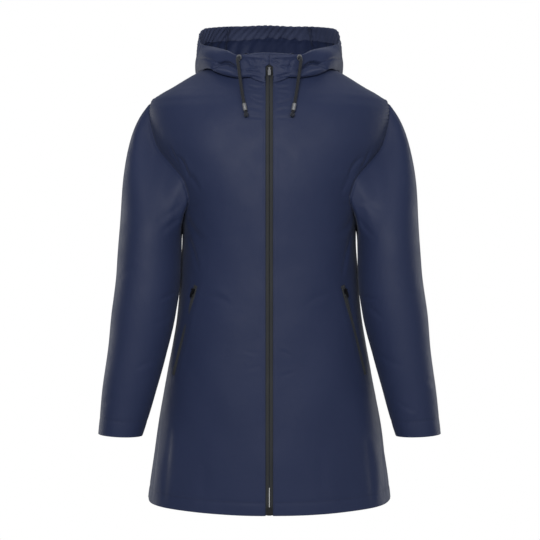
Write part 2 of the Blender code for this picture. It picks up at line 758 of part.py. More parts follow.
def rounded(width, length, radius, steps=3):
    """A rounded rectangle's outline about its middle, anticlockwise."""
    outline = []
    corners = ((1, 1, 0), (-1, 1, 90), (-1, -1, 180), (1, -1, 270))
    for sx, sy, start in corners:
        for k in range(steps + 1):
            a = math.radians(start + 90 * k / steps)
            x = sx * (width / 2 - radius) + radius * math.cos(a)
            y = sy * (length / 2 - radius) + radius * math.sin(a)
            outline.append((x, y))
    return outline


def slab(outline, low, high, lie=lambda x, y, z: (x, y, z)):
    """Points and faces of an outline made thick from low to high."""
    count = len(outline)
    points = [lie(x, y, low) for x, y in outline] + [lie(x, y, high) for x, y in outline]
    faces = [list(range(count))[::-1], list(range(count, 2 * count))]
    faces += [[k, (k + 1) % count, count + (k + 1) % count, count + k] for k in range(count)]
    return points, faces


def ring(inner, outer, low, high, sides=20):
    """Points and faces of a flat ring or a short tube."""
    points, faces = [], []
    for radius, z in ((inner, low), (outer, low), (outer, high), (inner, high)):
        for k in range(sides):
            a = 2 * math.pi * k / sides
            points.append((radius * math.cos(a), radius * math.sin(a), z))
    for layer in range(4):
        above = (layer + 1) % 4
        for k in range(sides):
            k2 = (k + 1) % sides
            faces.append([layer * sides + k, layer * sides + k2, above * sides + k2, above * sides + k])
    return points, faces


def joined(first, second):
    """The first object with the second made part of it."""
    join = first.modifiers.new("join", "BOOLEAN")
    join.operation, join.solver, join.object = "UNION", "EXACT", second
    made = bpy.data.meshes.new_from_object(first.evaluated_get(bpy.context.evaluated_depsgraph_get()))
    first.modifiers.clear()
    first.data = made
    bpy.data.objects.remove(second)
    return first


def make_slider(prefix, name, place, size, pull_size, rise, finish):
    """A zip slider with two ears, and the pull that hangs between them. The frame's out axis
    starts at what the slider lies on, rise below the slider's back."""
    width, length, thick = size
    top = rise + thick
    hinge = (0, -length / 4, top + RUNNING_GAP + pull_size[3] * 0.85)
    body = put(f"{prefix}_slider{name}", *slab(rounded(width, length, 2.2), rise, top), place, finish)
    reach = pull_size[0] / 2 + RUNNING_GAP
    for side in (-1, 1):
        outline = [(-EAR[1] / 2, top - 0.5), (EAR[1] / 2, top - 0.5)]
        for k in range(5):
            a = math.pi * k / 4
            outline.append((EAR[1] / 2 * math.cos(a), hinge[2] + EAR[1] / 2 * math.sin(a)))
        low, high = sorted((side * reach, side * (reach + EAR[0])))
        points, faces = slab(outline, low, high, lambda y, z, x: (x, y + hinge[1], z))
        bpy.context.view_layer.update()
        body = joined(body, put("ear", points, faces, place, finish))
    hang = pull_size[2]
    above = 0.9
    outline = []
    half_top, half_end = pull_size[0] / 2, pull_size[1] / 2
    for x, y in (
        (half_top, -above),
        (half_top, 3.0),
        (half_end, 5.0),
        (half_end, hang - 1.5),
        (half_end - 1.2, hang),
    ):
        outline.append((x, hinge[1] + y))
    outline = [(-x, y) for x, y in reversed(outline)] + outline
    low, high = hinge[2] - pull_size[3] / 2, hinge[2] + pull_size[3] / 2
    put(f"{prefix}_pull{name}", *slab(outline, low, high), place, finish, origin=hinge)


# ---------------------------------------------------------------- zips


def front_column(column_x):
    """The closed front's inner surface along the zip, from hem to collar: points at a distance
    from the middle, and the outward directions."""
    front = panel_grid(front=True)[:, 0]
    z = front[:, 1]
    points, normals = cloth_points(angle_at(column_x, z), z)
    angles, hood = hood_half()
    round_it = math.degrees(math.asin(column_x / 93))
    rows = [i for i in range(len(hood)) if i and hood[i, 0, 2] < ZIP_TOP_Z + 3]
    for i in rows:
        point = [np.interp(round_it, angles, hood[i, :, k]) for k in range(3)]
        point[1] += 1.2
        points = np.concatenate([points, [point]])
        normals = np.concatenate([normals, [(0, -1, 0)]])
    return points, normals


def make_front_zip():
    points, normals = front_column(ZIP_TAPE)
    behind = points - (CLOTH + TAPE_GAP) * normals
    behind[0, 2] += 1.0
    columns = [0.35, ZIP_TAPE]
    grid = np.stack([behind * (0, 1, 1) + (x, 0, 0) for x in columns], axis=1)
    facing = np.repeat((normals * (0, 1, 1))[:, None], len(columns), axis=1)
    facing = unit(facing)
    wall("zip_tape_left", grid, facing, TAPE_THICK, "zip_tape")
    wall("zip_tape_right", mirrored(grid), mirrored(facing), TAPE_THICK, "zip_tape")
    width, length, thick = ZIP_BOX
    foot, up = Vector(grid[0, 0]), Vector(grid[1, 0]) - Vector(grid[0, 0])
    out = Vector(facing[0, 0])
    middle = foot + up.normalized() * (length / 2)
    middle.x = 0
    place = frame_at(middle, out, -up)
    box = slab(rounded(width, length, 1.5), SLIDER_RISE, SLIDER_RISE + thick)
    put("zip_box", *box, place, "dark_metal")
    order = np.argsort(grid[:, 0, 2])
    at = [np.interp(ZIP_SLIDER_Z, grid[order, 0, 2], grid[order, 0, k]) for k in range(3)]
    low = [np.interp(ZIP_SLIDER_Z - 8, grid[order, 0, 2], grid[order, 0, k]) for k in range(3)]
    high = [np.interp(ZIP_SLIDER_Z + 6, grid[order, 0, 2], grid[order, 0, k]) for k in range(3)]
    down = Vector(low) - Vector(high)
    out = Vector((1, 0, 0)).cross(down) * -1
    at[0] = 0
    place = frame_at(at, out if out.y < 0 else -out, down)
    make_slider("zip", "", place, ZIP_SLIDER, ZIP_PULL, SLIDER_RISE, "dark_metal")


def on_front(x, z, grid, normals):
    """Where the left front's facets are at x and z, and their outward direction there."""
    row, column = (z - HEM_Z) / (ARMPIT_Z - HEM_Z) * ROWS_BELOW_ARM, 5.0

    def read(values, row, column):
        i = int(np.clip(row, 0, len(values) - 2))
        j = int(np.clip(column, 0, values.shape[1] - 2))
        s, t = column - j, row - i
        low = (1 - s) * values[i, j] + s * values[i, j + 1]
        high = (1 - s) * values[i + 1, j] + s * values[i + 1, j + 1]
        return (1 - t) * low + t * high

    for _ in range(30):
        here = read(grid, row, column)
        by_row = read(grid, row + 0.01, column) - read(grid, row - 0.01, column)
        by_column = read(grid, row, column + 0.01) - read(grid, row, column - 0.01)
        slopes = np.array([[by_column[0], by_row[0]], [by_column[2], by_row[2]]]) / 0.02
        step = np.linalg.solve(slopes, (x - here[0], z - here[2]))
        column, row = column + step[0], row + step[1]
    return read(grid, row, column), unit(read(normals, row, column))


def make_pocket_zips():
    """A tape on each front, with its slider and pull at the top."""
    grid, normals = half_panel(front=True)
    steps = 12
    top, foot = np.array(POCKET_TOP), np.array(POCKET_FOOT)
    middles, facings = [], []
    for k in range(steps + 1):
        point, facing = on_front(*(top + (foot - top) * k / steps), grid, normals)
        middles.append(point)
        facings.append(facing)
    middles, facings = np.array(middles), np.array(facings)
    down = unit(np.gradient(middles, axis=0))
    sideways = unit(np.cross(down, facings))
    rows, outs = [], []
    for middle, side in zip(middles, sideways):
        row, out = [], []
        for share in (-0.5, 0, 0.5):
            target = middle + side * share * POCKET_ZIP
            point, facing = on_front(target[0], target[2], grid, normals)
            row.append(point + (LAID_GAP + 0.25 + TAPE_THICK) * facing)
            out.append(facing)
        rows.append(row)
        outs.append(out)
    tape, outs = np.array(rows)[::-1], np.array(outs)[::-1]
    if np.cross(tape[0, 1] - tape[0, 0], tape[1, 0] - tape[0, 0]) @ outs[0, 0] < 0:
        tape, outs = tape[:, ::-1], outs[:, ::-1]
    wall("pocket_tape_left", tape, outs, TAPE_THICK, "zip_tape")
    wall("pocket_tape_right", mirrored(tape), mirrored(outs), TAPE_THICK, "zip_tape")
    share = POCKET_SLIDER_AT / np.linalg.norm(middles[-1] - middles[0])
    at, out = on_front(*(top + (foot - top) * share), grid, normals)
    below, _ = on_front(*(top + (foot - top) * (share + 0.06)), grid, normals)
    above, _ = on_front(*(top + (foot - top) * max(share - 0.04, 0)), grid, normals)
    run = below - above
    at = at + (LAID_GAP + 0.25 + TAPE_THICK) * out
    for name, side in (("_left", 1), ("_right", -1)):
        flip = np.array((side, 1, 1))
        place = frame_at(at * flip, out * flip, run * flip)
        make_slider("pocket", name, place, POCKET_SLIDER, POCKET_PULL, POCKET_RISE, "dark_metal")


# ---------------------------------------------------------------- cords


def eyelet_place():
    """The left eyelet's point on the hood's outer surface and the direction out of it."""
    angles, grid = hood_half()
    column = [
        [np.interp(EYELET_ANGLE, angles, grid[i, :, k]) for k in range(3)] for i in range(len(grid))
    ]
    column = np.array(column)[::-1]
    lengths = np.concatenate([[0], np.cumsum(np.linalg.norm(np.diff(column, axis=0), axis=1))])

    def at(distance):
        return np.array([np.interp(distance, lengths, column[:, k]) for k in range(3)])

    point = at(EYELET_BELOW_EDGE)
    up = at(EYELET_BELOW_EDGE - 4) - at(EYELET_BELOW_EDGE + 4)
    a = math.radians(EYELET_ANGLE)
    round_it = np.array((math.cos(a), math.sin(a), 0))
    return point, unit(np.cross(round_it, up)), unit(up)


def cord_route(point, out):
    """The left cord's centre line, from the eyelet's mouth down over the chest."""
    start = point + out * 0.8
    down = np.array((0, 0, -1))
    path = np.array([start, start + out * 3, start + out * 6 + down * 3, *CORD_HANG])
    lengths = np.concatenate([[0], np.cumsum(np.linalg.norm(np.diff(path, axis=0), axis=1))])
    at = np.concatenate([np.linspace(0, 14, 6), np.linspace(14, lengths[-1], 12)[1:]])
    return np.stack([smooth(lengths, path[:, k], at) for k in range(3)], -1)


def make_cord(name, route, side):
    """The cord as a tube, then its ferrule and its knot."""
    flip = np.array((side, 1, 1))
    route = route * flip
    curve = bpy.data.curves.new(f"cord_{name}", "CURVE")
    curve.dimensions = "3D"
    curve.bevel_depth = CORD_DIAMETER / 2 * MM
    curve.bevel_resolution = 3
    curve.use_fill_caps = True
    line = curve.splines.new("POLY")
    line.points.add(len(route) - 1)
    for vertex, point in zip(line.points, route):
        vertex.co = (*(point * MM), 1)
    add(f"cord_{name}", curve, "cord")
    end, before = route[-1], route[-2]
    run = Vector(unit(end - before))
    out = Vector((0, -1, 0))
    place = frame_at(end, run, out)
    inner, outer, length = FERRULE
    rise = 4.0
    put(f"ferrule_{name}", *ring(inner, outer, -length - rise, -rise), place, "bright_metal")
    radius, height = KNOT
    points, faces = [], []
    sides, layers = 14, 6
    for i in range(1, layers):
        a = math.pi * i / layers
        for k in range(sides):
            b = 2 * math.pi * k / sides
            across = radius * math.sin(a) ** 0.7
            points.append((across * math.cos(b), across * math.sin(b), -height / 2 * math.cos(a)))
    points += [(0, 0, -height / 2), (0, 0, height / 2)]
    first, last = len(points) - 2, len(points) - 1
    for k in range(sides):
        k2 = (k + 1) % sides
        faces.append([first, k2, k])
        faces.append([last, (layers - 2) * sides + k, (layers - 2) * sides + k2])
        for i in range(layers - 2):
            faces.append([i * sides + k, i * sides + k2, (i + 1) * sides + k2, (i + 1) * sides + k])
    lift = LAID_GAP + height / 2
    points = [(x, y, z + lift) for x, y, z in points]
    put(f"knot_{name}", points, faces, place, "cord")


def make_cords():
    point, out, up = eyelet_place()
    inner, outer, thick = EYELET
    route = cord_route(point, out)
    for name, side in (("left", 1), ("right", -1)):
        flip = np.array((side, 1, 1))
        place = frame_at(point * flip, out * flip, -up * flip)
        put(f"eyelet_{name}", *ring(inner, outer, 0.4, 0.4 + thick), place, "bright_metal")
        make_cord(name, route, side)


# ---------------------------------------------------------------- build


def main():
    for obj in list(bpy.data.objects):
        bpy.data.objects.remove(obj)
    make_fronts_and_back()
    make_sleeves()
    make_hood()
    make_front_zip()
    make_pocket_zips()
    make_cords()


main()
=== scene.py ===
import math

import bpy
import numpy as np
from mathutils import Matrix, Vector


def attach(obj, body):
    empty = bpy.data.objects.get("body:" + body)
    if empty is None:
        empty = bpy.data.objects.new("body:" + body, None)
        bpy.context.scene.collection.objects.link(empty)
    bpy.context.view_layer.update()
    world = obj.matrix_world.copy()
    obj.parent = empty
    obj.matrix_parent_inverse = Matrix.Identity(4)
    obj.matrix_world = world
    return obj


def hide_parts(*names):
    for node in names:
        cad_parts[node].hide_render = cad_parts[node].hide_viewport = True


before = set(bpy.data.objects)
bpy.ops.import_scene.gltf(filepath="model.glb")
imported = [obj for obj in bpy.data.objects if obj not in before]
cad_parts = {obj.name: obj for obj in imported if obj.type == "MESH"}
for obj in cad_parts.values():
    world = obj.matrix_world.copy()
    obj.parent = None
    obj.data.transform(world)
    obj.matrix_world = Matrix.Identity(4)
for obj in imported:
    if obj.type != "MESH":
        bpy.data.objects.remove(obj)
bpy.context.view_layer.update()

# The looks of a hooded raincoat on the frame of its solids: a thin shell of coated cloth with its
# creases, gathers, turned hems and topstitching on each panel, the zips' tapes and coils, and the
# braided drawcords. Sizes are in millimetres and degrees, and become metres when a mesh is made.

MM = 0.001
CLOTH = 2.0  # wall of a cloth panel
SEAM_GAP = 0.4  # between two panels at a seam
LAID_GAP = 0.3  # between a panel and what is laid on it or behind it
HEM_Z = -850.0  # at the side seams
HEM_DIP = 6.0  # how far the hem dips below that at the front and the back
ARMPIT_Z = -315.0
SHOULDER_TIP_Z = -80.0
CUFF_Z = -718.0
ZIP_SHOWS = 14.0  # width of the front zip between the two fronts
ZIP_TAPE = 12.5  # width of one tape, its sewn part included
ZIP_TOP_Z = -19.0  # above it the hood's two front edges close over the zip's end
POCKET_ZIP = 9.0  # width of the pocket zip that shows
POCKET_TOP = (139.0, -437.0)  # out from the middle and height of each end of the pocket zip
POCKET_FOOT = (182.0, -603.0)
EYELET_ANGLE = 31.5
EYELET_BELOW_EDGE = 6.0
CORD_DIAMETER = 6.0
KNOT = (4.6, 8.0)  # radius and height of the knot below the ferrule
HOOD_SEAM_ANGLE = 148.0  # from the front round to the seam between side and centre panels

# The coat's form, as in its solids except where a comment says otherwise
TORSO = np.array(
    [
        # height, half width, front, back, squareness, seam behind
        (-860, 239, 151, 143, 2.1, 0),
        (-780, 228, 148, 136, 2.1, 0),
        (-690, 214.5, 145, 126, 2.15, 2),
        (-600, 198, 145, 113, 2.2, 6),
        (-540, 187, 146, 102, 2.25, 10),
        (-500, 180.5, 147, 95, 2.3, 13),
        (-460, 176.5, 147, 89, 2.3, 15),
        (-400, 172.5, 146, 84, 2.35, 16),
        (-350, 169, 147, 87, 2.4, 16),
        (-292, 171, 146, 96, 2.5, 13),
        (-225, 191, 139, 110, 2.5, 6),
        (-156, 225, 127, 115, 2.4, 1),
        (-100, 235, 112, 108, 2.2, 0),
        (SHOULDER_TIP_Z, 230, 104, 101, 2.0, 0),
        (-65, 211, 97, 96, 1.95, 0),
        (-51, 186, 92, 92, 1.9, 0),
        (-31, 153, 85, 84, 1.9, 0),
        (0, 102, 76, 75, 2.0, 0),
        (8, 89, 73, 73, 2.1, 0),
        (24, 80, 68, 71, 2.3, 0),
    ]
)
NECKLINE = np.array(
    [
        # turn, height, size: half its width at that turn over the sine of the turn
        (0, -42, 80),
        (45, -27, 82),
        (90, 6, None),
        (135, 15, 80),
        (180, 19, 78),
    ],
    dtype=float,
)
ARMHOLE = np.array(
    [
        # angle, height, to the front, to the back
        (0, SHOULDER_TIP_Z, 0, 0),
        (20, -86, 6.5, 6),
        (45, -107, 10.5, 10),
        (70, -140, 12, 12),
        (90, -172, 15, 14),
        (110, -206, 24, 19),
        (130, -241, 33, 26),
        (145, -268, 32.5, 27),
        (160, -294, 23, 19),
        (180, ARMPIT_Z, 0, 0),
    ]
)
SLEEVE = np.array(
    [
        # height, out from the middle, forward, half width, half depth
        (-365, 229.2, 33, 60.4, 70),
        (-410, 230.8, 40, 61.0, 67),
        (-480, 238.5, 48, 60.5, 63),
        (-560, 252.0, 55, 54.5, 57),
        (-640, 267.5, 61, 48.5, 51),
        (CUFF_Z, 282.5, 66, 42.0, 46),
    ]
)
CAP_START = {
    "top": (172, 0, -170),
    "front": (80, -30, -80),
    "under": (9, -4, -48),
    "back": (80, 30, -80),
}
# The hood's rings: (distance from the neck's middle, height) at each angle. At 70 and 95 degrees
# the hollow, bottom and belly lie a little lower than the solid's, settled on the shoulder.
HOOD_ANGLES = np.array([0, 31, 50, 70, 95, 125, 155, 180.0])
HOOD_RINGS = {
    "roll": [(91, -37), (99, -40), (110, -30), (110, -4), (105, 3), (98, 19), (88, 30), (83, 33)],
    "hollow": [
        (93, -31), (103.5, -43.5), (116, -37), (118, -11),
        (120, -9), (119, -26), (108, -50), (105, -50),
    ],
    "bottom": [
        (94, -26), (108, -40.5), (120.5, -34), (129, -21),
        (135, -28), (147, -60), (138, -125), (134, -148),
    ],
    "belly": [
        (95, -20), (106, -28), (115, -19.5), (131, -6),
        (142, -9), (168, -22), (178, -72), (178, -95),
    ],
    "upper": [
        (95.5, -14), (106, -13), (111, -4), (128, 8),
        (141, 13), (168, 24), (186, 0), (190, -10),
    ],
    "channel": [
        (96, -9), (108, -5), (107, 8), (118, 17),
        (138, 28), (160, 57), (171, 63), (170, 64),
    ],
    "edge": [
        (96, -3), (107, -2), (102, 10), (109, 21),
        (135, 38), (157, 83), (155, 97), (145, 100),
    ],
}
CORD_HANG = np.array(
    [
        # out from the middle, behind the middle, height
        (58.8, -99.5, -17),
        (57.0, -100.0, -30),
        (54.5, -100.5, -48),
        (52.0, -103.0, -66),
        (49.5, -108.5, -82),
        (46.4, -115.3, -99),
        (43.5, -120.8, -114.5),
    ]
)
ROWS_BELOW_ARM = 10
SLEEVE_COLUMNS = 24
ROWS_AT_ARM = SLEEVE_COLUMNS // 2  # so that panels and sleeves meet point to point
NECK_COLUMNS = 7
SHOULDER_COLUMNS = 5
RING_STEPS = (2, 2, 3, 3, 2, 2, 2)  # rows from each ring to the next
FRONT_HOOD_SPLIT = 2  # hood columns to each of the neckline's points, so that they meet there
BACK_HOOD_SPLIT = 3
ARC_POINTS = 91  # angles from the middle to the side seam at which lengths are worked out
LIFTED_TO = 128.0  # up to this angle the hood rests on the panels; behind it stands clear


def smooth(table_x, table_y, x, flat_ends=False):
    """A monotone cubic curve through a table, at x. flat_ends makes it level at both ends."""
    table_x, table_y, x = (np.asarray(v, float) for v in (table_x, table_y, x))
    step = np.diff(table_x)
    rise = np.diff(table_y) / step
    slope = np.zeros(len(table_x))
    before, after = rise[:-1], rise[1:]
    same_way = before * after > 0
    weight_a, weight_b = 2 * step[1:] + step[:-1], step[1:] + 2 * step[:-1]
    safe_before, safe_after = np.where(same_way, before, 1), np.where(same_way, after, 1)
    mean = (weight_a + weight_b) / (weight_a / safe_before + weight_b / safe_after)
    slope[1:-1] = np.where(same_way, mean, 0)
    if not flat_ends:
        slope[0], slope[-1] = rise[0], rise[-1]
    i = np.clip(np.searchsorted(table_x, x, side="right") - 1, 0, len(step) - 1)
    t = (x - table_x[i]) / step[i]
    return (
        (2 * t**3 - 3 * t**2 + 1) * table_y[i]
        + (t**3 - 2 * t**2 + t) * step[i] * slope[i]
        + (3 * t**2 - 2 * t**3) * table_y[i + 1]
        + (t**3 - t**2) * step[i] * slope[i + 1]
    )


def unit(v):
    return v / np.maximum(np.linalg.norm(v, axis=-1, keepdims=True), 1e-9)


def lengths_along(path):
    """How far each point of a path is from its start, along it."""
    return np.concatenate([[0], np.cumsum(np.linalg.norm(np.diff(path, axis=0), axis=1))])


def read_at(places, known, path):
    """A path's points at places on it, by straight lines between those at the known places."""
    return np.stack([np.interp(places, known, path[:, k]) for k in range(3)], -1)


def curve_at(places, known, path):
    """A path's points at places on it, by a smooth curve through those at the known places."""
    return np.stack([smooth(known, path[:, k], places) for k in range(3)], -1)


def hump(distance, middle, width):
    """A bell of height 1 round a distance."""
    return np.exp(-(((distance - middle) / width) ** 2))


def hermite(start, end, start_speed, end_speed, t):
    """A cubic from start to end that leaves and arrives at the given speeds, at share t."""
    return (
        (2 * t**3 - 3 * t**2 + 1) * start
        + (t**3 - 2 * t**2 + t) * start_speed
        + (3 * t**2 - 2 * t**3) * end
        + (t**3 - t**2) * end_speed
    )


def section(z):
    """(half width, front, back, squareness, seam behind) of the body at height z."""
    heights = TORSO[:, 0]
    return [smooth(heights, TORSO[:, k], z) for k in (1, 2, 3, 4, 5)]


def torso(angle, z):
    """The point of the body's outer surface at an angle round it, 0 at the front and 90 at the
    wearer's left, and a height."""
    half, front, back, square, seam_behind = section(z)
    a = np.radians(angle)
    across, along = np.sin(a), np.cos(a)
    x = half * np.sign(across) * np.abs(across) ** (2 / square)
    depth = np.where(along > 0, front, back)
    y = seam_behind - depth * np.sign(along) * np.abs(along) ** (2 / square)
    return np.stack([x, y, z + 0 * x], axis=-1)


def torso_normal(angle, z):
    """The outward direction of the body's surface."""
    turn, climb = 0.8, 0.8
    round_it = torso(angle + turn, z) - torso(angle - turn, z)
    up = torso(angle, z + climb) - torso(angle, z - climb)
    return unit(np.cross(round_it, up))


def angle_at(x, z):
    """The angle, from 0 to 90, at which the body's front is x out from the middle."""
    half, _, _, square, _ = section(z)
    return np.degrees(np.arcsin(np.clip(x / half, 0, 1) ** (square / 2)))


def neckline(turn):
    """(angle, height) of the neckline, by the turn round the neck."""
    sizes = NECKLINE[:, 2].copy()
    sizes[2] = section(NECKLINE[2, 1])[0]
    z = smooth(NECKLINE[:, 0], NECKLINE[:, 1], turn, flat_ends=True)
    size = smooth(NECKLINE[:, 0], sizes, turn, flat_ends=True)
    angle = angle_at(size * np.sin(np.radians(turn)), z)
    return np.where(turn > 90, 180 - angle, angle), z


def armhole(turn, front):
    """(angle, height) of the armhole, by the angle round it: 0 at the shoulder, 180 underarm."""
    z = smooth(ARMHOLE[:, 0], ARMHOLE[:, 1], turn, flat_ends=True)
    reach = smooth(ARMHOLE[:, 0], ARMHOLE[:, 2 if front else 3], turn)
    return (90 - reach if front else 90 + reach), z


def drawn_in(grid, normals, sides, by=SEAM_GAP / 2):
    """The grid with its named edges moved a little into the panel, square to the seam."""
    moved = grid.copy()
    edges = {
        "bottom": (np.s_[0, :], np.s_[1, :]),
        "top": (np.s_[-1, :], np.s_[-2, :]),
        "first": (np.s_[:, 0], np.s_[:, 1]),
        "last": (np.s_[:, -1], np.s_[:, -2]),
    }
    for side in sides:
        edge, inside = edges[side]
        along = np.gradient(grid[edge], axis=0)
        square = unit(np.cross(normals[edge], along))
        inwards = np.sum(square * (grid[inside] - grid[edge]))
        moved[edge] += by * np.sign(inwards) * square
    return moved


def mirrored(grid):
    """The grid on the other side of the coat, with its columns turned round to face outwards."""
    return grid[:, ::-1] * (-1, 1, 1)


def on_the_right(shaped, lines):
    """A piece and its lines of stitches on the other side of the coat."""
    return mirrored(shaped), [(line * (-1, 1, 1), out * (-1, 1, 1)) for line, out in lines]


def arc_lengths(z, front):
    """Angles from the middle to the side seam, and how far each is round the section at z."""
    angles = np.linspace(0 if front else 180, 90, ARC_POINTS)
    return angles, lengths_along(torso(angles, np.full(ARC_POINTS, z)))


def to_flat(pairs, front):
    """(angle, height) pairs as (distance round the body from the middle, height)."""
    flat = []
    for angle, z in pairs:
        _, lengths = arc_lengths(z, front)
        turned = angle if front else 180 - angle
        flat.append((np.interp(turned, np.linspace(0, 90, ARC_POINTS), lengths), z))
    return np.array(flat)


def from_flat(flat, front):
    """The (angle, height) pairs that to_flat was given."""
    pairs = []
    for distance, z in flat.reshape(-1, 2):
        angles, lengths = arc_lengths(z, front)
        pairs.append((np.interp(distance, lengths, angles), z))
    return np.array(pairs).reshape(flat.shape)


def coons(bottom, top, first, last):
    """A grid of points spanned between its four edges."""
    rows, columns = len(first), len(bottom)
    s = np.linspace(0, 1, columns)[None, :, None]
    t = np.linspace(0, 1, rows)[:, None, None]
    across = (1 - s) * first[:, None] + s * last[:, None]
    along = (1 - t) * bottom[None] + t * top[None]
    corners = (1 - t) * ((1 - s) * bottom[0] + s * bottom[-1])
    corners = corners + t * ((1 - s) * top[0] + s * top[-1])
    return across + along - corners


def relaxed(grid, rounds=600):
    """The flat grid with its inner points spread evenly and no cell folded over (Winslow)."""
    g = grid.copy()
    for _ in range(rounds):
        by_column = (g[1:-1, 2:] - g[1:-1, :-2]) / 2
        by_row = (g[2:, 1:-1] - g[:-2, 1:-1]) / 2
        a = np.sum(by_row**2, -1, keepdims=True)
        b = np.sum(by_row * by_column, -1, keepdims=True)
        c = np.sum(by_column**2, -1, keepdims=True)
        twist = g[2:, 2:] - g[2:, :-2] - g[:-2, 2:] + g[:-2, :-2]
        new = a * (g[1:-1, 2:] + g[1:-1, :-2]) + c * (g[2:, 1:-1] + g[:-2, 1:-1]) - b / 2 * twist
        g[1:-1, 1:-1] += 0.7 * (new / (2 * (a + c)) - g[1:-1, 1:-1])
    return g


def even_turns(start, end):
    """Turns round the neckline that part it into NECK_COLUMNS even lengths."""
    turns = np.linspace(start, end, 181)
    lengths = lengths_along(torso(*neckline(turns)))
    return np.interp(np.linspace(0, lengths[-1], NECK_COLUMNS + 1), lengths, turns)


def panel_grid(front):
    """(angle, height) grid of half the front or half the back, from the middle to the side."""
    below = np.linspace(HEM_Z, ARMPIT_Z, ROWS_BELOW_ARM + 1)
    middle_below = np.linspace(HEM_Z - HEM_DIP, ARMPIT_Z, ROWS_BELOW_ARM + 1)
    middle_z = np.linspace(ARMPIT_Z, NECKLINE[0 if front else -1, 1], ROWS_AT_ARM + 1)[1:]
    middle_z = np.concatenate([middle_below, middle_z])
    if front:
        middle_angle = angle_at(ZIP_SHOWS / 2, middle_z)
        neck_turn = even_turns(math.degrees(math.asin(ZIP_SHOWS / 2 / NECKLINE[0, 2])), 90)
    else:
        middle_angle = np.full(len(middle_z), 180.0)
        neck_turn = even_turns(180, 90)
    first = np.stack([middle_angle, middle_z], -1)
    side = np.stack([np.full(len(below), 90.0), below], -1)
    hole = np.stack(armhole(np.linspace(180, 0, ROWS_AT_ARM + 1), front), -1)[1:]
    last = np.concatenate([side, hole])
    neck = np.stack(neckline(neck_turn), -1)
    shoulder_z = np.linspace(neck[-1, 1], SHOULDER_TIP_Z, SHOULDER_COLUMNS + 1)[1:]
    shoulder = np.stack([np.full(SHOULDER_COLUMNS, 90.0), shoulder_z], -1)
    top = np.concatenate([neck, shoulder])
    top[0] = first[-1]
    columns = NECK_COLUMNS + SHOULDER_COLUMNS + 1
    bottom_angle = np.linspace(middle_angle[0], 90, columns)
    bottom_z = HEM_Z - HEM_DIP * np.cos(np.radians(bottom_angle)) ** 2
    bottom_z[0] = middle_z[0]
    bottom = np.stack([bottom_angle, bottom_z], -1)
    edges = [to_flat(edge, front) for edge in (bottom, top, first, last)]
    grid = from_flat(relaxed(coons(*edges)), front)
    grid[0], grid[-1], grid[:, 0], grid[:, -1] = bottom, top, first, last
    return grid


def hem_waves(angle, z):
    """How far the skirt's soft waves stand out, in mm: none at the waist, most at the hem."""
    depth = 3.5 * smooth((HEM_Z, -700, -480, 30), (1, 0.55, 0, 0), z)
    from_front = np.minimum(np.abs(angle), 360 - np.abs(angle))
    return depth * (np.cos(np.radians(from_front * 7 - 40)) * np.sin(np.radians(from_front)) ** 2)


def cloth_points(angle, z):
    """Points of the worn cloth on the body's surface, with the directions that face out."""
    normals = torso_normal(angle, z)
    return torso(angle, z) + normals * hem_waves(angle, z)[..., None], normals


def arm(z):
    """(out, forward, half width, half depth) of the sleeve at height z."""
    return [smooth(SLEEVE[::-1, 0], SLEEVE[::-1, k], z) for k in (1, 2, 3, 4)]


def sleeve_section(turn, z):
    """The wearer's left sleeve cut square to the arm through its middle at height z. The turn is
    0 at the outside, 90 at the front."""
    out, forward, half_width, half_depth = arm(z)
    low = np.maximum(z - 10, CUFF_Z)
    low_out, low_forward, _, _ = arm(low)
    high_out, high_forward, _, _ = arm(low + 10)
    square = smooth((CUFF_Z, CUFF_Z + 80, -300), (0.3, 1, 1), z)
    t = np.radians(turn)
    dx, dy = half_width * np.cos(t), -half_depth * np.sin(t)
    rise = square * ((low_out - high_out) * dx - (low_forward - high_forward) * dy) / 10
    return np.stack([out + dx, -forward + dy, z + rise + 0 * dx], -1)


def grid_normals(grid, around=False):
    """Directions square to a grid of points, facing the side on which rows x columns turns."""
    if around:
        along_columns = np.roll(grid, -1, 1) - np.roll(grid, 1, 1)
    else:
        along_columns = np.gradient(grid, axis=1)
    return unit(np.cross(along_columns, np.gradient(grid, axis=0)))


def neck_points():
    """The left fronts' and back's points on the neckline, the body's outward directions there
    and their angles round the neck."""
    front = panel_grid(front=True)[-1, : NECK_COLUMNS + 1]
    back = panel_grid(front=False)[-1, : NECK_COLUMNS + 1][::-1]
    pairs = np.concatenate([front, back[1:]])
    points, normals = cloth_points(pairs[:, 0], pairs[:, 1])
    return points, normals, np.degrees(np.arctan2(points[:, 0], -points[:, 1]))


def neck_seam(angles):
    """Points of the neck's edge and the body's outward directions there, at angles round the
    neck. Between two of the panels' points the edge is straight."""
    points, normals, _ = neck_points()
    steps = np.arange(len(points))
    fine = np.linspace(0, steps[-1], 40 * steps[-1] + 1)
    points, normals = read_at(fine, steps, points), read_at(fine, steps, normals)
    round_it = np.degrees(np.arctan2(points[:, 0], -points[:, 1]))
    return read_at(angles, round_it, points), unit(read_at(angles, round_it, normals))


def panel_triangles():
    """The triangles, corner by corner, of the upper rows of the left half front and half back."""
    found = []
    for front in (True, False):
        pairs = panel_grid(front)[-8:]
        grid = cloth_points(pairs[..., 0], pairs[..., 1])[0]
        a, b, c, d = grid[:-1, :-1], grid[:-1, 1:], grid[1:, 1:], grid[1:, :-1]
        for corners in ((a, b, c), (a, c, d), (a, b, d), (b, c, d)):
            found.append(np.stack([corner.reshape(-1, 3) for corner in corners], axis=1))
    return np.concatenate(found)


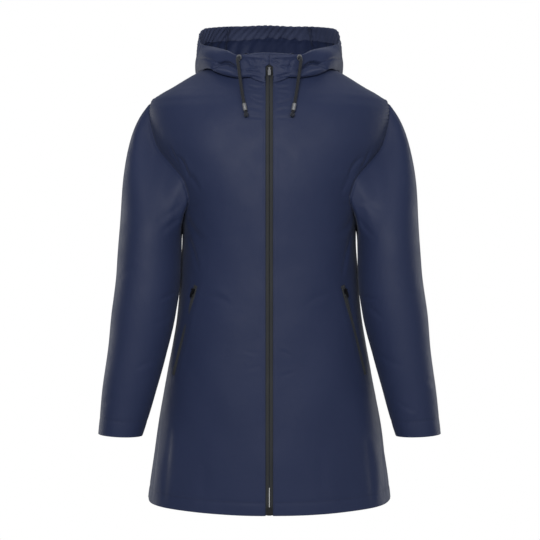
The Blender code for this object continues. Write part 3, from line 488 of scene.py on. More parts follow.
def lifted(points, triangles, lift):
    """The points, each at least the lift off any panel that it lies over."""
    raised = points.copy()
    a, ab, ac = triangles[:, 0], triangles[:, 1] - triangles[:, 0], triangles[:, 2] - triangles[:, 0]
    level = ab[:, 0] * ac[:, 1] - ab[:, 1] * ac[:, 0]
    facing = np.abs(unit(np.cross(ab, ac))[:, 2])
    for k, point in enumerate(points):
        ap = point - a
        s = (ap[:, 0] * ac[:, 1] - ap[:, 1] * ac[:, 0]) / level
        t = (ab[:, 0] * ap[:, 1] - ab[:, 1] * ap[:, 0]) / level
        over = (s > -0.02) & (t > -0.02) & (s + t < 1.02) & (facing > 0.2)
        if over.any():
            floor = a[over, 2] + s[over] * ab[over, 2] + t[over] * ac[over, 2]
            raised[k, 2] = max(point[2], np.max(floor + lift / np.maximum(facing[over], 0.35)))
    return raised


def hood_angles():
    """Angles of the half hood's columns: the neckline's points, and the columns between them."""
    at_neck = neck_points()[2]
    at_neck[0] = 0
    angles = [0.0]
    for k in range(len(at_neck) - 1):
        split = FRONT_HOOD_SPLIT if k < NECK_COLUMNS else BACK_HOOD_SPLIT
        angles += list(np.linspace(at_neck[k], at_neck[k + 1], split + 1)[1:])
    return np.array(angles)


def hood_half():
    """The wearer's left half of the hood: rows from the neck seam to the edge, columns from the
    front round to the middle of the back."""
    angles = hood_angles()
    seam, _ = neck_seam(HOOD_ANGLES)
    seam_ring = np.stack([np.hypot(seam[:, 0], seam[:, 1]), seam[:, 2]], -1)
    rings = np.array([seam_ring, *HOOD_RINGS.values()], float)
    around = np.stack(
        [
            np.stack([smooth(HOOD_ANGLES, ring[:, k], angles, flat_ends=True) for k in (0, 1)], -1)
            for ring in rings
        ]
    )
    rows = []
    count = len(around)
    for i, steps in enumerate(RING_STEPS):
        before, after = around[max(i - 1, 0)], around[min(i + 2, count - 1)]
        here, there = around[i], around[i + 1]
        for s in np.linspace(0, 1, steps + 1)[0 if i == 0 else 1 :]:
            rows.append(hermite(here, there, (there - before) / 2, (after - here) / 2, s))
    profile = np.array(rows)
    radius, z = profile[..., 0], profile[..., 1]
    a = np.radians(angles)[None, :]
    grid = np.stack([radius * np.sin(a), -radius * np.cos(a), z + 0 * a], -1)
    panels = panel_triangles()
    over_panels = angles < LIFTED_TO
    for row in range(1, 12):
        lift = 1.0 if row == 1 else 2.0
        grid[row, over_panels] = lifted(grid[row, over_panels], panels, lift)
    seam, facing = neck_seam(angles)
    grid[0] = seam + 1.2 * SEAM_GAP * unit(facing + (0, 0, 1))
    return angles, grid


def eyelet_place():
    """The left eyelet's point on the hood's outer surface and the direction out of it."""
    angles, grid = hood_half()
    column = np.array([read_at(EYELET_ANGLE, angles, row) for row in grid])[::-1]
    lengths = lengths_along(column)
    places = (EYELET_BELOW_EDGE - 4, EYELET_BELOW_EDGE, EYELET_BELOW_EDGE + 4)
    above, point, under = (read_at(place, lengths, column) for place in places)
    a = math.radians(EYELET_ANGLE)
    round_it = np.array((math.cos(a), math.sin(a), 0))
    return point, unit(np.cross(round_it, above - under))


def cord_route(point, out):
    """The left cord's centre line, from the eyelet's mouth down over the chest."""
    start = point + out * 0.8
    down = np.array((0, 0, -1))
    path = np.array([start, start + out * 3, start + out * 6 + down * 3, *CORD_HANG])
    lengths = lengths_along(path)
    at = np.concatenate([np.linspace(0, 14, 6), np.linspace(14, lengths[-1], 12)[1:]])
    return curve_at(at, lengths, path)


def front_column(column_x):
    """The closed front's inner surface along the zip, from hem to collar: points at a distance
    from the middle, and the outward directions."""
    front = panel_grid(front=True)[:, 0]
    z = front[:, 1]
    points, normals = cloth_points(angle_at(column_x, z), z)
    angles, hood = hood_half()
    round_it = math.degrees(math.asin(column_x / 93))
    rows = [i for i in range(len(hood)) if i and hood[i, 0, 2] < ZIP_TOP_Z + 3]
    for i in rows:
        point = read_at(round_it, angles, hood[i])
        point[1] += 1.2
        points = np.concatenate([points, [point]])
        normals = np.concatenate([normals, [(0, -1, 0)]])
    return points, normals


# ---------------------------------------------------------------- fine grids

COLUMNS_EACH = 11  # fine columns for each of a solid panel's
ROWS_EACH_BELOW = 16
ROWS_EACH_ABOVE = 8
SLEEVE_FINE = 6
CAP_FINE = 44  # rows of the sleeve's cap
ARM_FINE = 126
HOOD_ROWS_EACH = 7
HOOD_COLUMNS_EACH = 4


def refined(grid, rows, columns):
    """A grid read smoothly at fractional rows and columns."""
    at_rows, at_columns = np.arange(len(grid)), np.arange(grid.shape[1])
    deep = np.empty((len(rows), grid.shape[1], grid.shape[2]))
    for j in range(grid.shape[1]):
        for k in range(grid.shape[2]):
            deep[:, j, k] = smooth(at_rows, grid[:, j, k], rows)
    fine = np.empty((len(rows), len(columns), grid.shape[2]))
    for i in range(len(rows)):
        for k in range(grid.shape[2]):
            fine[i, :, k] = smooth(at_columns, deep[i, :, k], columns)
    return fine


def bent(grid, bottom, top, first, last):
    """A grid moved so that its edges lie on the given ones, and less so further in."""
    return grid + coons(bottom - grid[0], top - grid[-1], first - grid[:, 0], last - grid[:, -1])


def fine_panel(front):
    """(angle, height) and (distance round from the middle, height) of a fine half panel."""
    coarse = panel_grid(front)
    flat = to_flat(coarse.reshape(-1, 2), front).reshape(coarse.shape)
    below = np.linspace(0, ROWS_BELOW_ARM, ROWS_BELOW_ARM * ROWS_EACH_BELOW + 1)
    above = np.linspace(0, ROWS_AT_ARM, ROWS_AT_ARM * ROWS_EACH_ABOVE + 1)[1:]
    rows = np.concatenate([below, ROWS_BELOW_ARM + above])
    count = NECK_COLUMNS + SHOULDER_COLUMNS
    columns = np.linspace(0, count, count * COLUMNS_EACH + 1)
    flat = refined(flat, rows, columns)
    heights = np.interp(rows, np.arange(len(coarse)), coarse[:, 0, 1])
    middle = angle_at(ZIP_SHOWS / 2, heights) if front else np.full(len(rows), 180.0)
    first = np.stack([middle, heights], -1)
    hole = np.stack(armhole(180 - 180 * above / ROWS_AT_ARM, front), -1)
    side_z = np.interp(below, (0, ROWS_BELOW_ARM), (HEM_Z, ARMPIT_Z))
    last = np.concatenate([np.stack([0 * side_z + 90, side_z], -1), hole])
    bottom_angle = np.linspace(middle[0], 90, len(columns))
    bottom_z = HEM_Z - HEM_DIP * np.cos(np.radians(bottom_angle)) ** 2
    bottom_z[0] = heights[0]
    bottom = np.stack([bottom_angle, bottom_z], -1)
    start = math.degrees(math.asin(ZIP_SHOWS / 2 / NECKLINE[0, 2])) if front else 180
    split = NECK_COLUMNS * COLUMNS_EACH + 1
    turns = smooth(np.arange(NECK_COLUMNS + 1), even_turns(start, 90), columns[:split])
    neck = np.stack(neckline(turns), -1)
    shoulder_z = np.linspace(neck[-1, 1], SHOULDER_TIP_Z, SHOULDER_COLUMNS * COLUMNS_EACH + 1)[1:]
    top = np.concatenate([neck, np.stack([0 * shoulder_z + 90, shoulder_z], -1)])
    top[0] = first[-1]
    edges = [to_flat(edge, front) for edge in (bottom, top, first, last)]
    flat = bent(flat, *edges)
    angles = from_flat_table(flat, front)
    grid = np.stack([angles, flat[..., 1]], -1)
    grid[0], grid[-1], grid[:, 0], grid[:, -1] = bottom, top, first, last
    return grid, flat, rows


def from_flat_table(flat, front):
    """Angles round the body at distances from the middle, from a table of lengths by height."""
    heights = np.linspace(TORSO[0, 0], TORSO[-1, 0], 443)
    tables = [arc_lengths(z, front) for z in heights]
    angles, lengths = tables[0][0], np.array([table[1] for table in tables])
    level = np.clip((flat[..., 1] - heights[0]) / (heights[1] - heights[0]), 0, len(heights) - 1.001)
    low = level.astype(int)
    found = np.empty(flat.shape[:2])
    for i in range(flat.shape[0]):
        for j in range(flat.shape[1]):
            share = level[i, j] - low[i, j]
            row = (1 - share) * lengths[low[i, j]] + share * lengths[low[i, j] + 1]
            found[i, j] = np.interp(flat[i, j, 0], row, angles)
    return found


# ---------------------------------------------------------------- creases and seams


def faded(t, power=0.7):
    """A share that is nothing at both ends of t and 1 in the middle."""
    return np.clip(np.sin(np.pi * np.clip(t, 0, 1)), 0, 1) ** power


def creases(u, v, table):
    """How far a table's creases move the cloth at pattern points (u, v). Each is a groove with a
    softer ridge on one side, bowed by some millimetres, that fades out at both ends."""
    moved = np.zeros(u.shape)
    for u0, v0, u1, v1, bow, width, depth in table:
        along = np.array((u1 - u0, v1 - v0), float)
        length = np.hypot(*along)
        along /= length
        t = ((u - u0) * along[0] + (v - v0) * along[1]) / length
        off = (v - v0) * along[0] - (u - u0) * along[1] - bow * 4 * t * (1 - t)
        fade = faded(t)
        w = width * (0.55 + 0.45 * fade)
        ridge = 0.5 * hump(off, 2.0 * w, 1.5 * w)
        moved += depth * fade * (ridge - hump(off, 0, w))
    return moved


def swells(u, v, table):
    """Broad soft waves over a whole panel."""
    moved = np.zeros(u.shape)
    for length_u, length_v, phase, height in table:
        moved += height * np.sin(2 * np.pi * (u / length_u + v / length_v) + phase)
    return moved


def seam_roll(distance, depth=1.1):
    """The cloth's dip into a seam and its low swell beside it, at distances from the seam."""
    return 0.45 * hump(distance, 7, 4.5) - depth * hump(distance, 0, 2.6)


def hem_relief(to_edge, depth, groove, swell):
    """A turned hem's low swell, and the groove of the stitches that hold it."""
    return 0.25 * hump(to_edge, *swell) - groove * hump(to_edge, depth, 1.8)


def puckers(position, distance, spacing, height, reach, phase):
    """Uneven ripples square to a seam, which die out away from it."""
    wander = 0.9 * np.sin(position / 31 + phase) + 0.6 * np.sin(position / 13 + 2 * phase)
    strength = 0.55 + 0.45 * np.sin(position / 43 + 3 * phase)
    wave = np.sin(2 * np.pi * position / spacing + wander * 2)
    return height * strength * wave * np.exp(-distance / reach)


def away_from(points, edge):
    """How far each grid point is from the edge point on its own row or column."""
    return np.linalg.norm(points - edge, axis=-1)


# ---------------------------------------------------------------- meshes


def make_mesh(name, points, faces, finish, uv=None, body="coat"):
    """A piece that rides on a body, from points in millimetres."""
    mesh = bpy.data.meshes.new(name)
    mesh.from_pydata((np.asarray(points) * MM).tolist(), [], faces)
    mesh.shade_smooth()
    if uv is not None:
        layer = mesh.uv_layers.new(name="cut")
        corners = np.empty(len(mesh.loops), int)
        mesh.loops.foreach_get("vertex_index", corners)
        layer.data.foreach_set("uv", (np.asarray(uv)[corners] * MM).ravel())
    mesh.materials.append(FINISHES[finish])
    obj = bpy.data.objects.new(name, mesh)
    bpy.context.scene.collection.objects.link(obj)
    if body:
        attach(obj, body)
    return obj


def grid_faces(rows, columns, tube=False):
    """The four-sided faces of a grid; a tube's last column joins its first."""
    i, j = np.meshgrid(np.arange(rows - 1), np.arange(columns if tube else columns - 1), indexing="ij")
    after = (j + 1) % columns
    quads = np.stack([i * columns + j, i * columns + after, (i + 1) * columns + after], -1)
    quads = np.concatenate([quads, ((i + 1) * columns + j)[..., None]], -1)
    return quads.reshape(-1, 4).tolist()


def measured(grid):
    """Pattern coordinates of a grid: lengths along its rows and up its columns."""
    across = np.linalg.norm(np.diff(grid, axis=1), axis=-1)
    up = np.linalg.norm(np.diff(grid, axis=0), axis=-1)
    across = np.concatenate([np.zeros((len(grid), 1)), np.cumsum(across, axis=1)], axis=1)
    across -= across[:, across.shape[1] // 2][:, None]
    up = np.concatenate([np.zeros((1, grid.shape[1])), np.cumsum(up, axis=0)], axis=0)
    return np.stack([across, up], -1)


def below(grid, normals, distance):
    """Points and outward directions of a grid at a distance from its first row. The distance is
    one number or one for each column."""
    steps = np.cumsum(np.linalg.norm(np.diff(grid, axis=0), axis=-1), axis=0)
    steps = np.concatenate([np.zeros((1, grid.shape[1])), steps])
    line, out = [], []
    for j, at in enumerate(np.broadcast_to(distance, grid.shape[1])):
        line.append(read_at(at, steps[:, j], grid[:, j]))
        out.append(read_at(at, steps[:, j], normals[:, j]))
    return np.array(line), unit(np.array(out))


def turned_under(grid, normals, out, inwards, depth, radius=0.8):
    """Rows of points that carry the first row round a fold and back behind the cloth."""
    centre = grid[0] - radius * out
    rows = []
    for turn in (45, 90, 135, 180):
        a = math.radians(turn)
        rows.append(centre + radius * (math.cos(a) * out - math.sin(a) * inwards))
    for share in (0.15, 0.3, 0.45, 0.6, 0.75, 0.9, 1.0):
        line, facing = below(grid, normals, depth * share)
        rows.append(line - radius * (2 - 0.7 * share) * facing)
    return rows


def seam_allowance(edge, out, inwards, reach):
    """Rows of points that turn the edge in at a seam: back behind the piece itself where reach is
    nothing, and past the seam behind its neighbour elsewhere."""
    past = np.minimum(1, np.broadcast_to(reach, len(edge)))[:, None]
    reach = np.broadcast_to(reach, len(edge))[:, None]
    return [
        edge - 0.8 * out,
        edge - (1.5 + 0.4 * past) * out + (0.3 - 1.1 * past) * inwards,
        edge - (1.4 + 0.8 * past) * out + (1.6 * (1 - past) - reach) * inwards,
    ]


def finished(grid, normals, edges):
    """The grid with its edges turned under or in. edges names each with its kind and size: a
    hem's depth, or how far a seam reaches behind the next piece."""
    for side, kind, size in edges:
        swap = side in ("first", "last")
        g, n = (grid.transpose(1, 0, 2), normals.transpose(1, 0, 2)) if swap else (grid, normals)
        start = side in ("bottom", "first")
        if not start:
            g, n = g[::-1], n[::-1]
        inwards = unit(g[1] - g[0])
        out = unit(n[0] - inwards * np.sum(n[0] * inwards, axis=-1, keepdims=True))
        if kind == "hem":
            g = g.copy()
            g[0] = g[0] + 0.8 * inwards
            rows = turned_under(g, n, out, inwards, size)
        else:
            rows = seam_allowance(g[0], out, inwards, size)
        g = np.concatenate([np.array(rows)[::-1], g])
        n = np.concatenate([np.repeat(out[None], len(rows), axis=0), n])
        if not start:
            g, n = g[::-1], n[::-1]
        grid, normals = (g.transpose(1, 0, 2), n.transpose(1, 0, 2)) if swap else (g, n)
    return grid, normals


def cloth(name, grid, tube=False):
    """A piece of the coat's cloth from a grid of points, in place of the solid of that name."""
    uv = measured(grid)
    rows, columns = grid.shape[:2]
    piece = make_mesh(
        f"cloth_{name}",
        grid.reshape(-1, 3),
        grid_faces(rows, columns, tube),
        "cloth",
        uv.reshape(-1, 2),
    )
    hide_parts(name)
    return piece


def bar_faces(count):
    """The faces of small bars of four rings of four points each."""
    faces = []
    for b in range(0, 16 * count, 16):
        faces += [[b, b + 1, b + 2, b + 3], [b + 15, b + 14, b + 13, b + 12]]
        for ring in (b, b + 4, b + 8):
            for q in range(4):
                q2 = (q + 1) % 4
                faces.append([ring + q, ring + 4 + q, ring + 4 + q2, ring + q2])
    return faces


def stitches(line, out, pitch=3.2, length=2.3, radius=0.24):
    """Points and faces of a row of stitches sunk into the cloth along a line."""
    steps = lengths_along(line)
    count = max(1, int(steps[-1] / pitch))
    at = (np.arange(count) + 0.5) * steps[-1] / count
    ends = [read_at(at + length * share, steps, line) for share in (-0.5, -0.25, 0.25, 0.5)]
    face = unit(read_at(at, steps, out))
    run = unit(ends[3] - ends[0])
    side = unit(np.cross(run, face))
    points = []
    for end, lift, size in zip(ends, (-0.25, 0.14, 0.14, -0.25), (0.4, 1, 1, 0.4)):
        for a in (45, 135, 225, 315):
            c, s = math.cos(math.radians(a)), math.sin(math.radians(a))
            points.append(end + face * (lift + radius * size * s) + side * radius * size * c)
    return np.array(points).transpose(1, 0, 2).reshape(-1, 3), bar_faces(count)


def sewn(name, lines, slot="cloth", finish="thread", **sizes):
    """One piece of all the topstitching along some lines."""
    all_points, all_faces, count = [], [], 0
    for line, out in lines:
        points, faces = stitches(np.asarray(line), np.asarray(out), **sizes)
        all_points.append(points)
        all_faces += [[count + p for p in face] for face in faces]
        count += len(points)
    piece = make_mesh(f"stitches_{name}", np.concatenate(all_points), all_faces, finish)
    return piece


def line_at(grid, normals, distance, edge):
    """A line on a grid at a distance from one of its edges, with the directions out of it."""
    if edge in ("first", "last"):
        grid, normals = grid.transpose(1, 0, 2), normals.transpose(1, 0, 2)
    if edge in ("top", "last"):
        grid, normals = grid[::-1], normals[::-1]
    return below(grid, normals, distance)


# ---------------------------------------------------------------- fronts and back

ARMHOLE_LENGTH = 290.0
SEAM_REACH = 6.0  # how far one piece's seam allowance lies behind the next piece
HEM = 25.0  # depth of the turned hem
CUFF_HEM = 30.0
ZIP_HEM = 11.0  # depth of the cloth that is turned in along the zip
ZIP_STITCH = 2.6  # from the cloth's edge to the stitches along the zip
ARMHOLE_STITCH = 2.0

# Creases of the fronts, placed as seen from the front: out from the middle (negative on the
# wearer's right) and height of each end, the bow of the line, half width and depth
FRONT_CREASES = [
    (-11, -66, -40, -61, 1.5, 2.0, 2.0),
    (-9, -76, -46, -70, -2, 2.0, 2.2),
    (-10, -86, -32, -80, 1.5, 2.0, 1.7),
    (-9, -96, -38, -84, 2, 2.2, 2.8),
    (-12, -110, -42, -104, -1.5, 2.2, 1.6),
    (-9, -124, -47, -123, 0, 1.6, 1.2),
    (11, -64, 38, -60, -2, 2.0, 2.0),
    (9, -73, 44, -78, 1.5, 2.0, 2.1),
    (12, -84, 36, -88, 1.5, 2.0, 1.6),
    (13, -96, 48, -83, -2.5, 2.3, 2.7),
    (10, -112, 42, -106, 1.5, 2.2, 1.5),
    (9, -123, 50, -124, 0, 1.6, 1.2),
    (-176, -188, -150, -236, 6, 4.5, 2.4),
    (-188, -170, -168, -206, -4, 4, 1.9),
    (-165, -214, -128, -262, 5, 6, 1.6),
    (178, -192, 149, -230, -6, 4.5, 2.2),
    (190, -174, 172, -214, 4, 4, 1.8),
    (168, -208, 134, -268, -4, 6.5, 1.6),
    (-158, -300, -118, -352, -7, 7, 2.1),
    (-160, -330, -132, -410, 5, 6, 1.8),
    (160, -296, 124, -340, 7, 7, 1.9),
    (161, -326, 138, -420, -6, 6.5, 1.9),
    (-118, -452, -70, -470, 4, 6.0, 0.7),
    (118, -448, 62, -474, -5, 6.5, 0.7),
    (-14, -560, -52, -552, 2, 3.0, 0.45),
    (-12, -584, -40, -590, -2, 3.0, 0.4),
    (13, -554, 44, -566, 2, 3.0, 0.45),
    (12, -600, 50, -592, -2, 3.2, 0.4),
    (-206, -640, -222, -842, 3, 9.0, 2.4),
    (-184, -700, -196, -848, -3, 10.0, 1.8),
    (208, -650, 223, -840, -3, 9.0, 2.2),
    (182, -720, 193, -850, 4, 10.0, 1.9),
    (-120, -760, -128, -852, 2, 12.0, 0.9),
    (96, -740, 104, -854, -2, 12.0, 0.9),
]
# Creases of the back, placed as seen from behind it, the wearer's left positive
BACK_CREASES = [
    (-182, -180, -146, -232, 6, 5.0, 1.5),
    (-190, -210, -160, -262, -4, 4.5, 1.2),
    (184, -176, 150, -236, -6, 5.0, 1.5),
    (191, -206, 158, -256, 5, 4.5, 1.3),
    (-60, -60, -96, -74, 3, 5.0, 0.8),
    (52, -58, 92, -70, -3, 5.0, 0.8),
    (-150, -300, -92, -352, 8, 8.0, 1.6),
    (-148, -338, -70, -398, -9, 9.0, 1.5),
    (150, -296, 98, -344, -8, 8.0, 1.5),
    (146, -344, 64, -408, 10, 9.0, 1.6),
    (-60, -380, 48, -392, -8, 8.0, 1.1),
    (-74, -432, 66, -420, 9, 9.0, 1.0),
    (-196, -600, -214, -846, 6, 11.0, 2.6),
    (-140, -640, -156, -850, -5, 12.0, 2.4),
    (-72, -660, -80, -852, 4, 13.0, 2.0),
    (6, -640, 2, -854, -4, 13.0, 1.8),
    (78, -670, 88, -852, -5, 13.0, 2.1),
    (142, -630, 158, -850, 5, 12.0, 2.5),
    (198, -610, 215, -846, -6, 11.0, 2.4),
]
SWELLS = [
    # wave across, wave up, phase, height
    (310, 420, 0.4, 0.7),
    (-190, 260, 1.9, 0.5),
    (120, -210, 3.1, 0.35),
    (83, 140, 5.2, 0.2),
]


def placed(table, front):
    """A crease table with its places turned into distances round the body."""
    rows = []
    for x0, z0, x1, z1, *rest in table:
        ends = []
        for x, z in ((x0, z0), (x1, z1)):
            half = section(z)[0]
            angle = angle_at(min(abs(x), half * 0.999), z)
            angles, lengths = arc_lengths(z, front)
            found = np.interp(angle, angles if front else 180 - angles, lengths)
            ends += [math.copysign(found, x), z]
        rows.append((*ends, *rest))
    return rows


def panel_relief(points, flat, rows, side, front, table):
    """How far a fine half panel's cloth stands off its plain form."""
    u, v = flat[..., 0] * side, flat[..., 1]
    to_side = away_from(points, points[:, -1:])
    to_top = away_from(points, points[-1:])
    free = (1 - hump(to_side, 0, 9)) * (1 - hump(to_top, 0, 9))
    relief = free * (creases(u, v, table) + swells(u + (0 if front else 70), v, SWELLS))
    relief += seam_roll(to_side) + seam_roll(to_top, 1.3)
    turn = np.clip(180 - 180 * (rows - ROWS_BELOW_ARM) / ROWS_AT_ARM, 0, 180)[:, None]
    position = turn / 180 * ARMHOLE_LENGTH
    phase = (1.3 if front else 4.1) + side
    at_hole = np.clip((rows[:, None] - ROWS_BELOW_ARM + 0.5) / 1.5, 0, 1)
    relief += at_hole * puckers(position, to_side, 10.5, 1.3, 14, phase)
    along_neck = u if front else u + 300
    relief += 0.8 * puckers(along_neck, to_top, 9.0, 0.6, 12 if front else 8, 2.2)
    return relief


def pocket_sink(points, side):
    """The cloth's dip under the pocket zip, and its swell beside it."""
    top, foot = np.array(POCKET_TOP) * (side, 1), np.array(POCKET_FOOT) * (side, 1)
    along = (foot - top) / np.linalg.norm(foot - top)
    dx, dz = points[..., 0] - top[0], points[..., 2] - top[1]
    t = (dx * along[0] + dz * along[1]) / np.linalg.norm(foot - top)
    off = np.abs(dx * along[1] - dz * along[0])
    inside = 1 / (1 + np.exp(-(t + 0.02) * 60)) / (1 + np.exp((t - 1.02) * 60))
    below_it = np.exp(-np.maximum(t - 1, 0) * 6) / (1 + np.exp(-(t - 1.0) * 40))
    dip = 0.5 * hump(off, 11, 5) - 0.5 * hump(off, 0, 5.5)
    return inside * dip - 0.5 * below_it * hump(off, 0, 2.5)


def make_fronts():
    """The two fronts, turned in along the zip and lapped under the back and the sleeves."""
    grid, flat, rows = fine_panel(front=True)
    plain, facing = cloth_points(grid[..., 0], grid[..., 1])
    table = placed(FRONT_CREASES, True)
    for name, side in (("left", 1), ("right", -1)):
        relief = panel_relief(plain, flat, rows, side, True, table) + pocket_sink(plain, 1)
        to_zip = away_from(plain, plain[:, :1])
        relief += 0.35 * hump(to_zip, 6, 3.5) - 0.5 * hump(to_zip, ZIP_STITCH, 1.2)
        relief += hem_relief(away_from(plain, plain[:1]), HEM, 1.0, (12, 7))
        points = plain + relief[..., None] * facing
        normals = grid_normals(points)
        points = drawn_in(points, normals, ("last", "top"), 0.15)
        side_seam = np.where(rows < ROWS_BELOW_ARM - 0.5, SEAM_REACH, 0)
        edges = (
            ("last", "seam", side_seam),
            ("top", "seam", SEAM_REACH),
            ("first", "hem", ZIP_HEM),
            ("bottom", "hem", HEM),
        )
        shaped, _ = finished(points, normals, edges)
        above_arm = np.s_[ROWS_BELOW_ARM * ROWS_EACH_BELOW :]
        lines = [
            line_at(points, normals, HEM, "bottom"),
            line_at(points, normals, ZIP_STITCH, "first"),
            line_at(points[above_arm], normals[above_arm], ARMHOLE_STITCH, "last"),
        ]
        if side < 0:
            shaped, lines = on_the_right(shaped, lines)
        piece = cloth(f"front_{name}", shaped)
        thread = sewn(f"front_{name}", lines)


def make_back():
    """The back, in one piece across its middle."""
    grid, flat, rows = fine_panel(front=False)
    plain, facing = cloth_points(grid[..., 0], grid[..., 1])
    table = placed(BACK_CREASES, False)
    halves = []
    for side in (1, -1):
        relief = panel_relief(plain, flat, rows, side, False, table)
        halves.append((plain + relief[..., None] * facing)[:, ::-1])
    left, right = halves[0], mirrored(halves[1])
    middle = (left[:, -1:] + right[:, :1]) / 2
    points = np.concatenate([left[:, :-1], middle, right[:, 1:]], axis=1)
    normals = grid_normals(points)
    relief = hem_relief(away_from(points, points[:1]), HEM, 1.0, (12, 7))
    points = points + relief[..., None] * normals
    points = drawn_in(points, normals, ("first", "last", "top"), 0.15)
    edges = (("first", "seam", 0), ("last", "seam", 0), ("top", "seam", 0), ("bottom", "hem", HEM))
    shaped, _ = finished(points, normals, edges)
    piece = cloth("back", shaped)
    thread = sewn("back", [line_at(points, normals, HEM, "bottom")])


# ---------------------------------------------------------------- sleeves

# Creases of the sleeves: turn round the arm (0 outside, 90 front) and height of each end, then
# the bow, half width and depth. The wearer's right sleeve has its own.
LEFT_SLEEVE_CREASES = [
    (150, -300, 118, -346, 5, 5.0, 1.4),
    (138, -276, 104, -306, -5, 5.5, 1.1),
    (168, -452, 122, -461, 2, 3.2, 1.3),
    (160, -470, 118, -500, -4, 5.0, 0.9),
    (84, -430, 36, -452, 6, 8.0, 0.6),
    (150, -560, 96, -584, 5, 6.0, 0.8),
    (60, -610, 14, -636, -5, 7.0, 0.7),
    (130, -650, 86, -668, 4, 5.0, 0.7),
    (20, -130, 52, -186, 8, 9.0, 0.7),
    (200, -440, 262, -470, -8, 7.0, 1.4),
    (196, -474, 250, -520, 7, 7.0, 1.2),
    (210, -330, 252, -380, 6, 6.5, 1.3),
    (300, -470, 345, -500, -6, 8.0, 0.9),
    (214, -590, 262, -618, -5, 6.5, 0.9),
    (285, -150, 318, -214, -7, 8.0, 0.8),
]
RIGHT_SLEEVE_CREASES = [
    (152, -306, 116, -340, -4, 5.0, 1.3),
    (140, -280, 102, -316, 5, 5.5, 1.2),
    (166, -448, 120, -464, -3, 3.4, 1.3),
    (158, -486, 112, -508, 4, 5.0, 0.8),
    (80, -400, 34, -426, -6, 8.0, 0.6),
    (148, -576, 100, -592, -5, 6.0, 0.8),
    (66, -640, 20, -656, 5, 7.0, 0.6),
    (18, -136, 50, -180, -8, 9.0, 0.7),
    (202, -430, 258, -468, 8, 7.0, 1.3),
    (196, -480, 246, -510, -7, 7.0, 1.3),
    (208, -336, 256, -372, -6, 6.5, 1.3),
    (296, -450, 340, -486, 6, 8.0, 0.9),
    (216, -600, 266, -622, 5, 6.5, 0.9),
    (282, -158, 314, -206, 7, 8.0, 0.8),
]
ARM_ROUND = 58.0  # the sleeve's usual radius, which turns its angles into millimetres


def fine_sleeve():
    """The left sleeve's plain form, closely spaced, from the armhole to the cuff."""
    columns = SLEEVE_COLUMNS * SLEEVE_FINE
    turn = np.arange(columns) * 360 / columns

    def round_hole(surface):
        front = surface(*armhole(np.minimum(turn, 180), True))
        back = surface(*armhole(360 - np.maximum(turn, 180), False))
        return np.where((turn <= 180)[:, None], front, back)

    hole, facing = round_hole(torso), round_hole(torso_normal)
    t = np.radians(turn)[:, None]
    share = {
        "top": np.maximum(np.cos(t), 0) ** 2,
        "under": np.maximum(-np.cos(t), 0) ** 2,
        "front": np.maximum(np.sin(t), 0) ** 2,
        "back": np.maximum(-np.sin(t), 0) ** 2,
    }
    leave = sum(share[k] * np.array(CAP_START[k], float) for k in share)
    under = (1 - np.cos(t)) / 2
    hole = hole + (SEAM_GAP + 0.6 * under) * unit(unit(leave) + under * facing)
    # the seam allowance lies behind the body's panels round the armhole
    along = np.roll(hole, -1, axis=0) - np.roll(hole, 1, axis=0)
    into = unit(np.cross(facing, along))
    into *= np.sign(np.sum(into * (hole - hole.mean(axis=0)), axis=-1, keepdims=True))
    allowance = [
        hole - 2.2 * facing + SEAM_REACH * into,
        hole - 2.1 * facing + 3.0 * into,
        hole - 1.8 * facing + 0.6 * into,
        hole - 0.7 * facing - 0.2 * into,
    ]
    arm_top = SLEEVE[0, 0]
    ring = sleeve_section(turn, np.full(columns, arm_top))
    axis = sleeve_section(turn, np.full(columns, arm_top - 10)) - ring
    arrive = unit(axis) * 1.1 * np.linalg.norm(ring - hole, axis=1)[:, None]
    rows = [hermite(hole, ring, leave, arrive, s) for s in np.linspace(0, 1, CAP_FINE + 1)]
    for z in np.linspace(arm_top, CUFF_Z, ARM_FINE + 1)[1:]:
        rows.append(sleeve_section(turn, np.full(columns, z)))
    return turn, np.array(rows), np.array(allowance)


